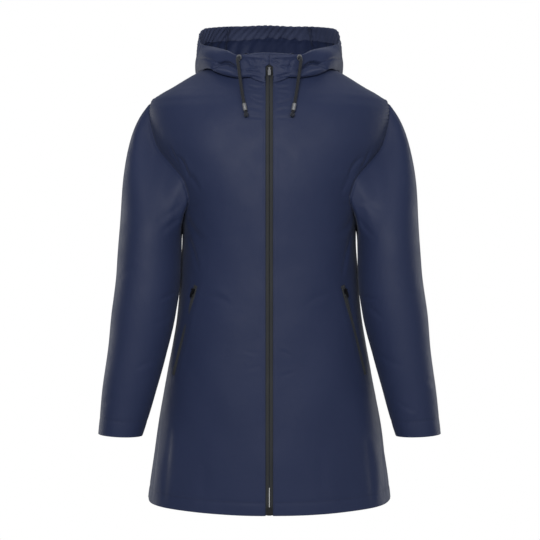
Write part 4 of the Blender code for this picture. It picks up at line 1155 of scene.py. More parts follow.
def make_sleeves():
    """The two sleeves, each with its seam allowance inside the armhole."""
    turn, plain, allowance = fine_sleeve()
    facing = grid_normals(plain, around=True)
    u = np.broadcast_to(turn * math.pi / 180 * ARM_ROUND, plain.shape[:2])
    v = plain[..., 2]
    to_hole, to_cuff = away_from(plain, plain[:1]), away_from(plain, plain[-1:])
    for name, side, creased in (("left", 1, LEFT_SLEEVE_CREASES), ("right", -1, RIGHT_SLEEVE_CREASES)):
        table = []
        for t0, z0, t1, z1, *rest in creased:
            table.append((math.radians(t0) * ARM_ROUND, z0, math.radians(t1) * ARM_ROUND, z1, *rest))
        free = 1 - hump(to_hole, 0, 12)
        wave = 2 * math.pi * ARM_ROUND / np.array((2, 1))
        relief = 0.45 * np.sin(2 * np.pi * (u / wave[0] + v / 240) + 1.1 * side)
        relief += 0.3 * np.sin(2 * np.pi * (u / wave[1] - v / 130) + 2.3)
        relief = free * (relief + creases(u, v, table))
        relief += seam_roll(to_hole, 0.9)
        front_half = turn <= 180
        position = np.where(front_half, turn, 360 - turn) / 180 * ARMHOLE_LENGTH
        phase = np.where(front_half, 1.3, 4.1) + side
        relief += puckers(position[None, :], to_hole, 10.5, 0.8, 16, phase[None, :])
        under = np.abs(turn - 180) * math.pi / 180 * ARM_ROUND
        relief -= 0.7 * hump(under, 0, 1.6)[None, :]
        relief += hem_relief(to_cuff, CUFF_HEM, 0.6, (14, 9))
        points = plain + relief[..., None] * facing
        normals = grid_normals(points, around=True)
        shaped, _ = finished(points, normals, (("top", "hem", CUFF_HEM),))
        shaped = np.concatenate([allowance, shaped])
        loop = np.arange(points.shape[1] + 1) % points.shape[1]
        line, out = line_at(points, normals, CUFF_HEM, "top")
        lines = [(line[loop], out[loop])]
        if side < 0:
            shaped, lines = on_the_right(shaped, lines)
        piece = cloth(f"sleeve_{name}", shaped, tube=True)
        thread = sewn(f"sleeve_{name}", lines)


# ---------------------------------------------------------------- hood

CHANNEL = 31.0  # depth of the hem round the hood's edge, which holds the drawcord
HOOD_ZIP_HEM = 9.0  # depth of the hood's cloth that is turned in at its front edges
SPREAD = 14.0  # how near the middle the hood's columns are spread from its front edge
HOOD_LAPS = 14.0  # how far the hood's front laps over the fronts at the zip
# The deep fold at each side of the hood's front: out from the middle, height, half width, depth
HOOD_FOLD = [
    (108, -24, 2.0, 2.5),
    (102, -20, 2.4, 6.5),
    (95, -16, 2.8, 10.5),
    (86, -14.5, 3.0, 11.0),
    (77, -16.5, 2.8, 10.0),
    (69, -22, 2.5, 7.0),
    (62, -27, 2.0, 4.0),
    (55, -31, 1.5, 2.0),
]
LAP_RISE = 2.6  # how far it stands off them there
HEM_ROWS = 10  # rows of a turned hem that lie inside
HOOD_ROUND = 2.95  # millimetres round the hood's edge for each degree
GATHERS = (15.8, 10.3)  # from one gather to the next, in the two sets that cross
GATHER_HEIGHT = 2.6
PLEATS = 26.0  # from one soft wave below the channel to the next
COLLAR_DEPTH = 2.0  # what the collar's creases are deepened by
FOLD_RISE = 0.12  # how far the fold rises for each millimetre it goes in
# The lip of cloth below it
HOOD_LIP = [
    (108, -27, 2.2, 0.6),
    (96, -29, 3.0, 2.2),
    (80, -34, 3.4, 2.6),
    (62, -41, 2.8, 1.8),
    (50, -45, 2.0, 0.6),
]
# Creases of the hood's front, as seen from the front
COLLAR_CREASES = [
    (-11, -4, -14, -22, 1, 1.3, 1.5),
    (-5, -4, -6.5, -17, 0.6, 1.1, 1.3),
    (-21, -6, -26, -26, -2, 1.9, 1.2),
    (-33, -8, -27, -34, 2, 2.1, 1.4),
    (-45, -12, -37, -32, 2, 2.2, 1.1),
    (16, -3, 5, -19, 1, 1.4, 1.9),
    (24, -5, 11, -27, -1, 1.6, 1.6),
    (33, -8, 25, -31, 1.5, 1.9, 1.2),
    (45, -11, 37, -33, -2, 2.1, 1.3),
    (-46, -33, -12, -41, 2, 1.9, 1.4),
    (-38, -22, -18, -29, -1.5, 1.7, 1.1),
    (-40, -43, -13, -49, 1.5, 1.7, 1.2),
    (12, -43, 40, -35, -2, 1.9, 1.5),
    (20, -27, 44, -24, 2, 1.7, 1.0),
    (14, -51, 38, -44, 1.5, 1.7, 1.2),
]
# Creases inside the back of the hood, as seen from the front
INNER_CREASES = [
    (-54, 43, -38, 61, 1, 3.2, -2.6),
    (-38, 61, -24, 45, -1, 3.0, -2.4),
    (-22, 45, -7, 57, 1, 3.2, -2.6),
    (-7, 57, 9, 44, -1, 3.2, -2.2),
    (15, 45, 29, 56, 1.5, 3.4, -1.8),
    (29, 56, 45, 44, -1, 3.0, -1.7),
    (-86, 46, -70, 62, 2, 4.0, -2.0),
    (64, 46, 77, 60, -2, 4.0, -1.8),
]


def along_fold(x, z, table):
    """How deep a fold is that follows a table's line, by the least distance to the line and the
    half width and height there."""
    table = np.array(table, float)
    best = np.full(x.shape, 1e9)
    width, height = np.ones(x.shape), np.zeros(x.shape)
    for row, after in zip(table[:-1], table[1:]):
        run = after[:2] - row[:2]
        t = np.clip(((x - row[0]) * run[0] + (z - row[1]) * run[1]) / (run @ run), 0, 1)
        off = np.hypot(x - row[0] - t * run[0], z - row[1] - t * run[1])
        nearer = off < best
        best = np.where(nearer, off, best)
        width = np.where(nearer, row[2] + t * (after[2] - row[2]), width)
        height = np.where(nearer, row[3] + t * (after[3] - row[3]), height)
    return height * hump(best, 0, width)


def fine_hood():
    """The half hood's plain form, closely spaced, with the front lapped down over the fronts at the
    zip: its rows, the angles of its columns and its points."""
    angles, coarse = hood_half()
    rows = np.linspace(0, len(coarse) - 1, (len(coarse) - 1) * HOOD_ROWS_EACH + 1)
    columns = np.linspace(0, len(angles) - 1, (len(angles) - 1) * HOOD_COLUMNS_EACH + 1)
    half = refined(coarse, rows, columns)
    fine_angles = smooth(np.arange(len(angles)), angles, columns)
    turns = np.linspace(0.5, 180, 721)
    lapped = smooth((0, 18, 46, 180), (1, 0.8, 0, 0), turns, flat_ends=True)
    neck_angle, neck_z = neckline(turns)
    place = (neck_angle, neck_z - HOOD_LAPS * lapped)
    neck_facing = torso_normal(*place)
    neck = torso(*place) + LAP_RISE * lapped[:, None] * unit(neck_facing)
    round_it = np.degrees(np.arctan2(neck[:, 0], -neck[:, 1]))
    seam = read_at(fine_angles, round_it, neck)
    facing = read_at(fine_angles, round_it, neck_facing)
    seam = seam + 1.2 * SEAM_GAP * unit(unit(facing) + (0, 0, 1))
    share = np.clip(1 - rows / 8, 0, 1) ** 2
    half = half + share[:, None, None] * (seam - half[0])[None]
    half[:, 0, 0] = 0
    half[:, -1, 0] = 0
    return rows, fine_angles, half


def hood_relief(whole, rows, turned, to_edge, to_neck):
    """How far the hood's cloth stands off its plain form, and how far it sinks into the folds."""
    x, z, off_front = whole[..., 0], whole[..., 2], np.abs(turned)
    back_share = np.clip((off_front - 78) / 50, 0, 1)
    front_share = np.clip((60 - off_front) / 12, 0, 1)
    channel_share = np.clip((off_front - 40) / 15, 0, 1)
    round_back = np.where(turned > 0, 180 - turned, -180 - turned) * HOOD_ROUND
    slanted = round_back + to_edge * 0.85
    first, second = (2 * np.pi / pitch for pitch in GATHERS)
    gather = np.sin(first * slanted + 1.1 * np.sin(round_back / 23))
    crossing = second * (slanted - 0.4 * to_edge) + 1.7 * np.sin(round_back / 41) + 1
    gather += 0.45 * np.sin(crossing)
    gather *= 0.7 + 0.3 * np.sin(round_back / 37 + 0.8)
    relief = GATHER_HEIGHT * back_share * gather * hump(to_edge, 16, 20)
    pleats = np.sin(2 * np.pi * round_back / PLEATS + 0.05 * to_edge)
    relief += 1.6 * back_share * pleats * hump(to_edge, 55, 25)
    relief += channel_share * (0.9 * hump(to_edge, 13, 9) - 1.0 * hump(to_edge, CHANNEL, 1.7))
    front = (whole[..., 1] < 20) & (off_front < 75)
    inner = (off_front > 120) & (rows[:, None] > 9 * HOOD_ROWS_EACH)
    sunk = np.zeros(x.shape)
    for side in (1, -1):
        sunk += front * along_fold(side * x, z, HOOD_FOLD)
        relief += front * along_fold(side * x, z, HOOD_LIP)
    relief += COLLAR_DEPTH * front_share * creases(x, z, COLLAR_CREASES)
    relief += inner * creases(x, z, INNER_CREASES)
    relief += 0.8 * swells(round_back, z * 2, SWELLS) * (1 - hump(to_neck, 0, 15))
    relief *= 1 - hump(to_neck, 0, 5)
    return relief, sunk


def make_hood():
    """The hood's sides and centre panel."""
    rows, fine_angles, half = fine_hood()
    # columns run from the middle of the back round the wearer's left, the front and the right
    whole = np.concatenate([half[:, ::-1], mirrored(half)[:, ::-1][:, 1:]], axis=1)
    angle = np.concatenate([fine_angles[::-1], -fine_angles[1:]])
    plain_out = -grid_normals(whole)
    to_edge, to_neck = away_from(whole, whole[-1:]), away_from(whole, whole[:1])
    turned = np.broadcast_to(angle, to_edge.shape)
    relief, sunk = hood_relief(whole, rows, turned, to_edge, to_neck)
    # the hollow over the lip runs back and up, behind the cloth above it
    points = whole + (relief - sunk)[..., None] * plain_out + sunk[..., None] * (0, 0, FOLD_RISE)
    normals = -grid_normals(points)
    seams = {"left": HOOD_SEAM_ANGLE, "right": -HOOD_SEAM_ANGLE}
    cut = {name: int(np.argmin(np.abs(angle - at))) for name, at in seams.items()}
    middle = int(np.argmin(np.abs(angle)))
    for at in cut.values():
        to_seam = away_from(points, points[:, at : at + 1])
        points = points + (seam_roll(to_seam, 0.35) * np.minimum(1, to_neck / 6))[..., None] * normals
    # the centre panel's columns cross the middle of the back, where the grid starts and ends
    across_back = [np.arange(cut["right"], len(angle) - 1), np.arange(0, cut["left"] + 1)]
    parts = {
        "left": np.arange(cut["left"], middle + 1),
        "right": np.arange(middle, cut["right"] + 1),
        "centre": np.concatenate(across_back),
    }
    past_roll = np.clip((rows - 9) / 3, 0, 1) * SEAM_REACH
    for name, chosen in parts.items():
        part, out, under = points[:, chosen], normals[:, chosen], plain_out[:, chosen]
        off_front = np.abs(angle[chosen])
        channel = CHANNEL * smooth((0, 64, 90, 180), (0.3, 0.3, 1, 1), off_front, flat_ends=True)
        edges = [("first", "seam", past_roll), ("last", "seam", past_roll)]
        if name == "left":
            part = closed_front(part, -1)
            edges = [("last", "seam", 0), ("first", "hem", HOOD_ZIP_HEM)]
        elif name == "right":
            part = closed_front(part, 0)
            edges = [("last", "hem", HOOD_ZIP_HEM), ("first", "seam", 0)]
        # the columns are put the other way round, so that the faces look outwards
        part, out, under, channel = part[:, ::-1], out[:, ::-1], under[:, ::-1], channel[::-1]
        shaped, across = finished(part, under, edges)
        added = shaped.shape[1] - part.shape[1]
        before = {"left": 0, "right": added, "centre": added // 2}[name]
        channel_depth = np.pad(channel, (before, added - before), mode="edge")
        edges = [("bottom", "seam", SEAM_REACH), ("top", "hem", channel_depth)]
        shaped, _ = finished(shaped, across, edges)
        lines = [line_at(part, out, channel - gap, "top") for gap in (0, 2.5)]
        lines = [(line - 0.9 * facing, -facing) for line, facing in lines]
        piece = cloth(f"hood_{name}", shaped)
        # the turned-in channel hem inside the hood gets the paler copy of the cloth, which is painted
        # light
        piece.data.materials.append(FINISHES["facing"])
        painted_lighter_rows = np.arange(shaped.shape[0] - 1) >= shaped.shape[0] - HEM_ROWS
        second = np.repeat(painted_lighter_rows, shaped.shape[1] - 1).astype(np.int32)
        piece.data.polygons.foreach_set("material_index", second)
        thread = sewn(f"hood_{name}", lines)


def closed_front(part, column):
    """A hood side whose front edge runs along the zip and, above its end, down the middle."""
    moved = part.copy()
    z = part[:, column, 2]
    edge = smooth((-60, ZIP_TOP_Z - 7, ZIP_TOP_Z - 1, 20), (1, 1, 0, 0), z, flat_ends=True)
    wanted = SEAM_GAP + edge * (ZIP_SHOWS / 2 - SEAM_GAP)
    side = 1 if column == -1 else -1
    # the columns near the edge are spread from it, so that none folds over
    x = part[..., 0]
    share = np.clip(np.abs(x) / SPREAD, 0, 1)
    spread = side * (wanted[:, None] + share * (SPREAD - wanted[:, None]))
    moved[..., 0] = np.where(np.abs(x) < SPREAD, spread, x)
    return moved


# ---------------------------------------------------------------- zips


# Each band's cut, point by point: (across, out). The front tape's folded inner edge rolls back over
# the coil behind it.
TAPE_PROFILE = [
    (2.2, -1.5),
    (1.2, -1.45),
    (0.45, -1.1),
    (0.3, -0.7),
    (0.5, -0.25),
    (1.1, -0.02),
    (2.0, 0.1),
    (3.2, 0.06),
    (4.2, -0.02),
    (5.4, 0.0),
    (6.6, 0.02),
    (8.5, -0.1),
    (11.5, -0.25),
]
COIL_BEHIND = 1.9  # from the tape's face back to the middle of the coil
COIL_OUT = 2.4  # from the zip's middle to that of one tape's coil
COIL_PITCH = 1.3
COIL_BAR = (3.6, 0.8, 0.9)  # width, height and thickness of one turn of the coil
TAPE_STITCH = 5.9  # from the zip's middle to the stitches on the tape
# The pocket band's cut from its middle out to the right
POCKET_PROFILE = [
    (0.0, -0.25),
    (0.2, 0.0),
    (0.55, 0.45),
    (1.3, 0.55),
    (POCKET_ZIP / 2 - 1.6, 0.5),
    (POCKET_ZIP / 2 - 0.5, 0.3),
    (POCKET_ZIP / 2 + 0.1, -0.2),
    (POCKET_ZIP / 2 + 0.5, -0.9),
]


def strip(name, middle, across, out, profile, node):
    """A zip's band: at each point of its middle line, the profile's points (across, out)."""
    grid = np.stack([middle + x * across + y * out for x, y in profile], axis=1)
    return band(name, grid, node)


def band(name, grid, node):
    """A zip's band from its grid of points, in place of the solid of that name."""
    faces = grid_faces(*grid.shape[:2])
    piece = make_mesh(name, grid.reshape(-1, 3), faces, "zip_tape", measured(grid).reshape(-1, 2))
    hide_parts(node)
    return piece


def bars(name, line, across, out, pitch, size, finish):
    """A row of small rounded bars along a line, such as a zip's coil."""
    steps = lengths_along(line)
    at = np.arange(pitch / 2, steps[-1], pitch)
    middle = read_at(at, steps, line)
    side, face = unit(read_at(at, steps, across)), unit(read_at(at, steps, out))
    run = unit(np.cross(side, face))
    width, height, thick = size
    corners = []
    for x, taper in ((-0.5, 0.6), (-0.35, 1), (0.35, 1), (0.5, 0.6)):
        for y, z in ((-1, -1), (1, -1), (1, 1), (-1, 1)):
            corners.append(
                middle + side * x * width + run * y * taper * height / 2 + face * z * taper * thick / 2
            )
    points = np.array(corners).transpose(1, 0, 2).reshape(-1, 3)
    piece = make_mesh(name, points, bar_faces(len(at)), finish)
    return piece


def make_front_zip():
    """The front zip's two tapes, with the coil behind each and a row of stitches."""
    points, normals = front_column(ZIP_TAPE)
    order = np.argsort(points[:, 2])
    steps = np.linspace(0, len(points) - 1, 12 * (len(points) - 1) + 1)
    flat_out = unit((normals * (0, 1, 1))[order])
    known = np.arange(len(points))
    out = unit(curve_at(steps, known, flat_out))
    line = (curve_at(steps, known, points[order]) - (CLOTH + 0.1) * out) * (0, 1, 1)
    line[0, 2] += 1.0
    for name, side in (("left", 1), ("right", -1)):
        across = np.tile((float(side), 0.0, 0.0), (len(line), 1))
        tape = strip(f"tape_{name}", line, across, out, TAPE_PROFILE[::side], f"zip_tape_{name}")
        behind = line - COIL_BEHIND * out + COIL_OUT * across
        coil = bars(f"coil_{name}", behind, across, out, COIL_PITCH, COIL_BAR, "coil")
        edge = line + TAPE_STITCH * across + 0.06 * out
        sizes = {"pitch": 2.6, "length": 1.9, "radius": 0.16}
        thread = sewn(f"tape_{name}", [(edge, out)], "zip_tape", "tape_thread", **sizes)


def make_pocket_zips():
    """The pocket zips: on each side one band of two lips that meet over the coil."""
    top, foot = np.array(POCKET_TOP), np.array(POCKET_FOOT)
    share = np.linspace(-0.012, 1.012, 150)[:, None]
    flat = top + (foot - top) * share
    angles = np.array([float(angle_at(x, z)) for x, z in flat])
    middle, out = cloth_points(angles, flat[:, 1])
    down = unit(np.gradient(middle, axis=0))
    across = unit(np.cross(down, out))
    middle = middle + 0.35 * out
    stitches_out = POCKET_ZIP / 2 + 2.0
    profile = [(-x, y) for x, y in POCKET_PROFILE[:0:-1]] + POCKET_PROFILE
    for name, side in (("left", 1), ("right", -1)):
        flip = np.array((side, 1, 1))
        grid = np.stack([middle + x * across + y * out for x, y in profile], axis=1) * flip
        if side < 0:
            grid = grid[:, ::-1]
        # its ends lie down on the cloth
        foot_end, top_end = grid[-1:] - 0.9 * out[-1] * flip, grid[:1] - 0.9 * out[0] * flip
        grid = np.concatenate([top_end, grid, foot_end])
        tape = band(f"pocket_band_{name}", grid, f"pocket_tape_{name}")
        lines = []
        for x in (-stitches_out, stitches_out):
            lines.append(((middle + x * across - 0.15 * out) * flip, out * flip))
        sizes = {"pitch": 3.0, "length": 2.2, "radius": 0.22}
        thread = sewn(f"pocket_{name}", lines, "cloth", "tape_thread", **sizes)


# ---------------------------------------------------------------- cords


CORD_STEP = 0.45  # from one of the cord's rings to the next
CORD_SIDES = 32
STRAND = 1.85  # radius of the cord where it is pulled tight in the knot
STRAND_SIDES = 16
KNOT_INSET = 1.75  # from the knot's outer size to the middle of its strand


def tube(name, path, radii, finish, slot, sides):
    """A tube along a path, its radius given for each ring and side."""
    run = unit(np.gradient(path, axis=0))
    normal = np.empty_like(run)
    start = np.cross(run[0], (0, 0, 1.0))
    normal[0] = unit(start if np.linalg.norm(start) > 0.1 else np.cross(run[0], (1.0, 0, 0)))
    for k in range(1, len(path)):
        normal[k] = unit(normal[k - 1] - run[k] * (normal[k - 1] @ run[k]))
    other = np.cross(run, normal)
    a = np.arange(sides) * 2 * math.pi / sides
    ring = np.cos(a)[None, :, None] * normal[:, None] + np.sin(a)[None, :, None] * other[:, None]
    grid = path[:, None] + radii[..., None] * ring
    points = np.concatenate([grid.reshape(-1, 3), path[:1], path[-1:]])
    faces = grid_faces(len(path), sides, tube=True)
    first, last, end = len(points) - 2, len(points) - 1, (len(path) - 1) * sides
    for k in range(sides):
        k2 = (k + 1) % sides
        faces.append([first, k2, k])
        faces.append([last, end + k, end + k2])
    length = lengths_along(path)
    uv = np.stack(np.broadcast_arrays(a * CORD_DIAMETER / 2, length[:, None]), -1)
    uv = np.concatenate([uv.reshape(-1, 2), [(0, 0), (0, length[-1])]])
    piece = make_mesh(name, points, faces, finish, uv)
    return piece


def braid(length, sides, radius, strands=8, pitch=9.0, height=0.22):
    """Radii of a braided cord: two sets of strands that wind opposite ways, one over the other."""
    a = np.arange(sides)[None, :] * 2 * math.pi / sides
    along = length[:, None] * 2 * math.pi / pitch
    one, two = np.cos(strands / 2 * (a + along / 2)), np.cos(strands / 2 * (a - along / 2))
    return radius - height + height * np.maximum(np.abs(one), np.abs(two)) ** 1.5


def make_cords():
    """The drawcord's two free ends, each with its knot."""
    point, out = eyelet_place()
    route = cord_route(point, out)
    steps = lengths_along(route)
    fine = curve_at(np.linspace(0, steps[-1], int(steps[-1] / CORD_STEP)), steps, route)
    length = lengths_along(fine)
    down = unit(fine[-1] - fine[-8])
    # a small overhand knot below the ferrule
    t = np.linspace(0, 2 * math.pi, 220)
    radius, height = KNOT
    loop = [np.sin(t) + 2 * np.sin(2 * t), np.cos(t) - 2 * np.cos(2 * t), -np.sin(3 * t)]
    loop = np.stack(loop, -1)
    loop *= ((radius - KNOT_INSET) / 3, (radius - KNOT_INSET) / 3, height / 2 - KNOT_INSET)
    for name, side in (("left", 1), ("right", -1)):
        flip = np.array((side, 1, 1))
        path, run = fine * flip, down * flip
        radii = braid(length, CORD_SIDES, CORD_DIAMETER / 2)
        cord = tube(f"drawcord_{name}", path, radii, "cord", "cord", CORD_SIDES)
        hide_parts(f"cord_{name}")
        side_way = unit(np.cross(run, (0, 1.0, 0)))
        other = np.cross(run, side_way)
        middle = path[-1] + run * (LAID_GAP + height / 2)
        curve = middle + loop[:, :1] * side_way + loop[:, 1:2] * other + loop[:, 2:] * run
        radii = braid(lengths_along(curve), STRAND_SIDES, STRAND, height=0.15)
        knot = tube(f"tied_{name}", curve, radii, "knot", "knot", STRAND_SIDES)
        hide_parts(f"knot_{name}")


# ---------------------------------------------------------------- finishes

# Two tones of each finish, linear red, green and blue
NAVY = ((0.0202, 0.0300, 0.0785), (0.0240, 0.0345, 0.0875))
# The hood facing's tones: the navy cloth made paler and a little greyer. This is painted light, a lit
# copy of the cloth that stands in for the light inside the hood.
PAINTED_LIGHTER_FACING = ((0.046, 0.058, 0.118), (0.053, 0.066, 0.132))
THREAD = ((0.022, 0.027, 0.052), (0.03, 0.036, 0.066))
CHARCOAL = ((0.0300, 0.0325, 0.0350), (0.0390, 0.0415, 0.0440))
TAPE_THREAD = ((0.016, 0.017, 0.02), (0.024, 0.025, 0.028))
CORD = ((0.014, 0.015, 0.019), (0.024, 0.026, 0.031))
TIED_CORD = ((0.016, 0.018, 0.027), (0.026, 0.029, 0.040))
COIL = ((0.018, 0.019, 0.021), (0.026, 0.027, 0.029))
GUNMETAL = ((0.030, 0.031, 0.033), (0.050, 0.051, 0.054))
PULL_METAL = ((0.30, 0.31, 0.33), (0.38, 0.39, 0.41))
NICKEL = ((0.48, 0.49, 0.51), (0.60, 0.61, 0.63))


def new_material(name, colour, roughness, specular=0.5, metallic=0.0):
    """A plain material, its node tree and its shader."""
    made = bpy.data.materials.new(name)
    made.use_nodes = True
    tree = made.node_tree
    shader = next(n for n in tree.nodes if n.type == "BSDF_PRINCIPLED")
    shader.inputs["Base Color"].default_value = (*colour, 1)
    shader.inputs["Roughness"].default_value = roughness
    shader.inputs["Specular IOR Level"].default_value = specular
    shader.inputs["Metallic"].default_value = metallic
    return made, tree, shader


def noise(tree, source, scale, detail=2.0, rough=0.5):
    """A noise texture on some coordinates."""
    made = tree.nodes.new("ShaderNodeTexNoise")
    made.inputs["Scale"].default_value = scale
    made.inputs["Detail"].default_value = detail
    made.inputs["Roughness"].default_value = rough
    tree.links.new(source, made.inputs["Vector"])
    return made.outputs["Fac"]


def mapped(tree, value, low, high, to_low, to_high):
    """A value carried from one range to another."""
    made = tree.nodes.new("ShaderNodeMapRange")
    for key, number in (("From Min", low), ("From Max", high), ("To Min", to_low), ("To Max", to_high)):
        made.inputs[key].default_value = number
    tree.links.new(value, made.inputs["Value"])
    return made.outputs["Result"]


def two_tones(tree, shader, share, first, second):
    """A base colour between two tones."""
    mix = tree.nodes.new("ShaderNodeMix")
    mix.data_type = "RGBA"
    mix.inputs["A"].default_value = (*first, 1)
    mix.inputs["B"].default_value = (*second, 1)
    tree.links.new(share, mix.inputs["Factor"])
    tree.links.new(mix.outputs["Result"], shader.inputs["Base Color"])


def wave(tree, source, scale, turned=False):
    """Fine bands across the pattern coordinates, or along them where turned."""
    made = tree.nodes.new("ShaderNodeTexWave")
    made.bands_direction = "Y" if turned else "X"
    made.inputs["Scale"].default_value = scale
    made.inputs["Distortion"].default_value = 0.4
    made.inputs["Detail"].default_value = 0.0
    tree.links.new(source, made.inputs["Vector"])
    return made.outputs["Fac"]


def bump(tree, height, strength, distance, under=None):
    """A shading normal from a height, over an earlier one where given."""
    made = tree.nodes.new("ShaderNodeBump")
    made.inputs["Strength"].default_value = strength
    made.inputs["Distance"].default_value = distance
    tree.links.new(height, made.inputs["Height"])
    if under is not None:
        tree.links.new(under, made.inputs["Normal"])
    return made.outputs["Normal"]


def coordinates(tree, kind):
    return tree.nodes.new("ShaderNodeTexCoord").outputs[kind]


def woven(name, tones, roughness, specular, thread_scale, weave_height, sheen, crinkle=None):
    """A woven cloth: two tones by broad and fine noise, a weave of fine threads on the pattern
    coordinates, a low sheen, and for coated cloth a faint crinkle."""
    made, tree, shader = new_material(name, tones[0], roughness, specular)
    cut = coordinates(tree, "UV")
    place = coordinates(tree, "Object")
    broad = noise(tree, place, 7.0, 3.0)
    fine = noise(tree, cut, 900.0, 1.0)
    add = tree.nodes.new("ShaderNodeMath")
    add.operation = "MULTIPLY_ADD"
    add.inputs[1].default_value = 0.35
    tree.links.new(fine, add.inputs[0])
    tree.links.new(broad, add.inputs[2])
    two_tones(tree, shader, mapped(tree, add.outputs[0], 0.40, 0.95, 0, 1), *tones)
    worn = mapped(tree, noise(tree, place, 26.0), 0.3, 0.7, roughness - 0.05, roughness + 0.06)
    tree.links.new(worn, shader.inputs["Roughness"])
    threads = tree.nodes.new("ShaderNodeMath")
    threads.operation = "ADD"
    tree.links.new(wave(tree, cut, thread_scale), threads.inputs[0])
    tree.links.new(wave(tree, cut, thread_scale, turned=True), threads.inputs[1])
    normal = bump(tree, threads.outputs[0], 0.6, weave_height)
    if crinkle:
        scale, height = crinkle
        normal = bump(tree, noise(tree, cut, scale, 4.0, 0.55), 1.0, height, normal)
    tree.links.new(normal, shader.inputs["Normal"])
    shader.inputs["Sheen Weight"].default_value = sheen
    shader.inputs["Sheen Roughness"].default_value = 0.45
    shader.inputs["Sheen Tint"].default_value = (0.75, 0.82, 1.0, 1)
    return made


def hard(name, tones, roughness, metallic):
    """A cast or stamped metal with a faint grain and handling marks."""
    made, tree, shader = new_material(name, tones[0], roughness, 0.5, metallic)
    place = coordinates(tree, "Object")
    two_tones(tree, shader, mapped(tree, noise(tree, place, 350.0, 3.0), 0.35, 0.7, 0, 1), *tones)
    marks = noise(tree, place, 900.0, 4.0, 0.6)
    worn = mapped(tree, marks, 0.3, 0.7, roughness - 0.08, roughness + 0.12)
    tree.links.new(worn, shader.inputs["Roughness"])
    tree.links.new(bump(tree, marks, 0.35, 0.00006), shader.inputs["Normal"])
    return made


# Each finish: name, two tones, roughness, specular, threads, height of the weave and sheen, and
# for coated cloth the scale and height of its crinkle
WOVEN = {
    "cloth": ("Coated cloth", NAVY, 0.50, 0.22, 520.0, 0.00005, 0.10, (55.0, 0.0005)),
    # the facing row is a lit copy of the coated cloth, painted lighter as painted light inside the hood
    "facing": ("Hood facing painted lighter", PAINTED_LIGHTER_FACING, 0.60, 0.20, 520.0, 0.00005, 0.10, (55.0, 0.0005)),
    "thread": ("Sewing thread", THREAD, 0.6, 0.3, 900.0, 0.00004, 0.1),
    "zip_tape": ("Zip tape", CHARCOAL, 0.66, 0.22, 420.0, 0.00009, 0.12),
    "tape_thread": ("Tape thread", TAPE_THREAD, 0.6, 0.3, 900.0, 0.00004, 0.1),
    "cord": ("Braided cord", CORD, 0.62, 0.3, 380.0, 0.0001, 0.2),
    "knot": ("Tied cord", TIED_CORD, 0.62, 0.3, 380.0, 0.0001, 0.2),
}
# Each finish: name, two tones, roughness, metallic
HARD = {
    "coil": ("Zip coil", COIL, 0.38, 0.0),
    "gunmetal": ("Gunmetal", GUNMETAL, 0.36, 0.85),
    "pull": ("Pull metal", PULL_METAL, 0.34, 0.9),
    "nickel": ("Nickel", NICKEL, 0.30, 0.95),
}
FINISHES = {finish: woven(*row) for finish, row in WOVEN.items()}
FINISHES |= {finish: hard(*row) for finish, row in HARD.items()}
FINISHES["floor"] = new_material("Pale floor", (0.80, 0.80, 0.80), 0.75, 0.2)[0]

# The solids that stay as they are, with their finish
KEPT = {"zip_box": "gunmetal", "zip_slider": "gunmetal", "zip_pull": "pull"}
for wearers in ("left", "right"):
    KEPT[f"pocket_slider_{wearers}"] = "gunmetal"
    KEPT[f"pocket_pull_{wearers}"] = "gunmetal"
    KEPT[f"eyelet_{wearers}"] = "nickel"
    KEPT[f"ferrule_{wearers}"] = "nickel"


def finish_kept():
    """Give the solids that stay as they are their finishes."""
    for node, finish in KEPT.items():
        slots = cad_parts[node].data.materials
        slots.clear()
        slots.append(FINISHES[finish])


# ---------------------------------------------------------------- camera, lights and floor

CAMERA_AWAY = 2.4  # metres in front of the neck
CAMERA_Z = -0.406  # level with the middle of the coat
VIEW_WIDTH = 1.053  # metres of the coat's own plane that the frame takes in
SENSOR = 36.0
SHIFT_PIXELS = 0.7
FRAME_PIXELS = 540
LIGHTS = {
    # place, the point it faces, width and height, all in metres, and power in watts
    "key": ((-0.3, -2.3, 0.45), (0, 0, 0.0), (1.3, 0.9), 30),
    "fill": ((1.9, -2.8, 0.6), (0, 0, -0.3), (1.8, 2.0), 14),
    "top": ((0, 0.3, 2.4), (0, 0, -0.2), (2.2, 1.6), 24),
    "rim_left": ((2.3, 1.5, -0.3), (0.1, 0, -0.5), (0.9, 2.2), 16),
    "rim_right": ((-2.3, 1.5, -0.3), (-0.1, 0, -0.5), (0.9, 2.2), 16),
}
SEEN_WHITE = 1.0  # strength of the world as the camera sees it
LIT_WHITE = 0.18  # and as it lights the coat
FLOOR_Z = -1300.0
FLOOR_RADIUS = 1500.0
FLOOR_SIDES = 96


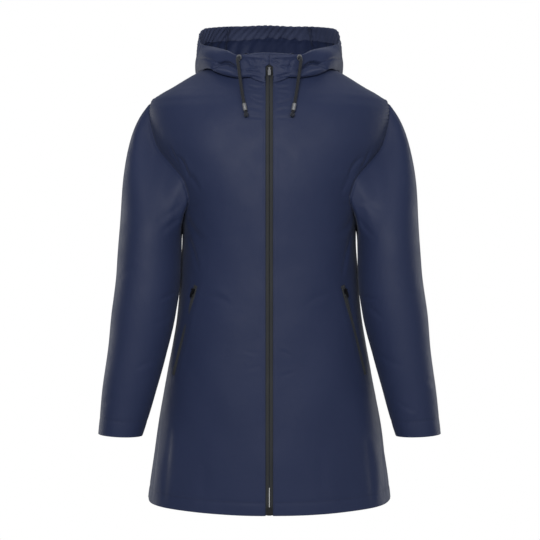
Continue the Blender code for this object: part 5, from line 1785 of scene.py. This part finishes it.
def area_light(name, place, aim, size, power):
    """A rectangular lamp that faces a point."""
    lamp = bpy.data.lights.new(name, "AREA")
    lamp.shape = "RECTANGLE"
    lamp.size, lamp.size_y = size
    lamp.energy = power
    obj = bpy.data.objects.new(name, lamp)
    obj.location = place
    obj.rotation_mode = "QUATERNION"
    obj.rotation_quaternion = (Vector(aim) - Vector(place)).to_track_quat("-Z", "Y")
    bpy.context.scene.collection.objects.link(obj)


def background(tree, strength):
    """White light of a strength."""
    made = tree.nodes.new("ShaderNodeBackground")
    made.inputs["Color"].default_value = (1, 1, 1, 1)
    made.inputs["Strength"].default_value = strength
    return made.outputs["Background"]


def make_world():
    """A world that is white to the camera and dimmer as a light."""
    world = bpy.data.worlds.new("studio")
    world.use_nodes = True
    tree = world.node_tree
    tree.nodes.clear()
    rays, mix = tree.nodes.new("ShaderNodeLightPath"), tree.nodes.new("ShaderNodeMixShader")
    output = tree.nodes.new("ShaderNodeOutputWorld")
    tree.links.new(rays.outputs["Is Camera Ray"], mix.inputs["Fac"])
    tree.links.new(background(tree, LIT_WHITE), mix.inputs[1])
    tree.links.new(background(tree, SEEN_WHITE), mix.inputs[2])
    tree.links.new(mix.outputs["Shader"], output.inputs["Surface"])
    return world


def make_stage():
    """The camera, level with the coat's middle, the lamps, the world and a pale floor."""
    scene = bpy.context.scene
    camera = bpy.data.objects.new("camera", bpy.data.cameras.new("camera"))
    scene.collection.objects.link(camera)
    scene.camera = camera
    camera.location = (0, -CAMERA_AWAY, CAMERA_Z)
    camera.rotation_euler = (math.pi / 2, 0, 0)
    camera.data.sensor_width = SENSOR
    camera.data.lens = SENSOR * CAMERA_AWAY / VIEW_WIDTH
    camera.data.shift_x = SHIFT_PIXELS / FRAME_PIXELS
    for name, row in LIGHTS.items():
        area_light(name, *row)
    scene.world = make_world()
    scene.view_settings.view_transform = "Standard"
    turns = np.arange(FLOOR_SIDES) * 2 * math.pi / FLOOR_SIDES
    rim = (FLOOR_RADIUS * np.cos(turns), FLOOR_RADIUS * np.sin(turns), np.full(FLOOR_SIDES, FLOOR_Z))
    floor = make_mesh("floor", np.stack(rim, -1), [list(range(FLOOR_SIDES))], "floor", body=None)


make_fronts()
make_back()
make_sleeves()
make_hood()
make_front_zip()
make_pocket_zips()
make_cords()
finish_kept()
make_stage()
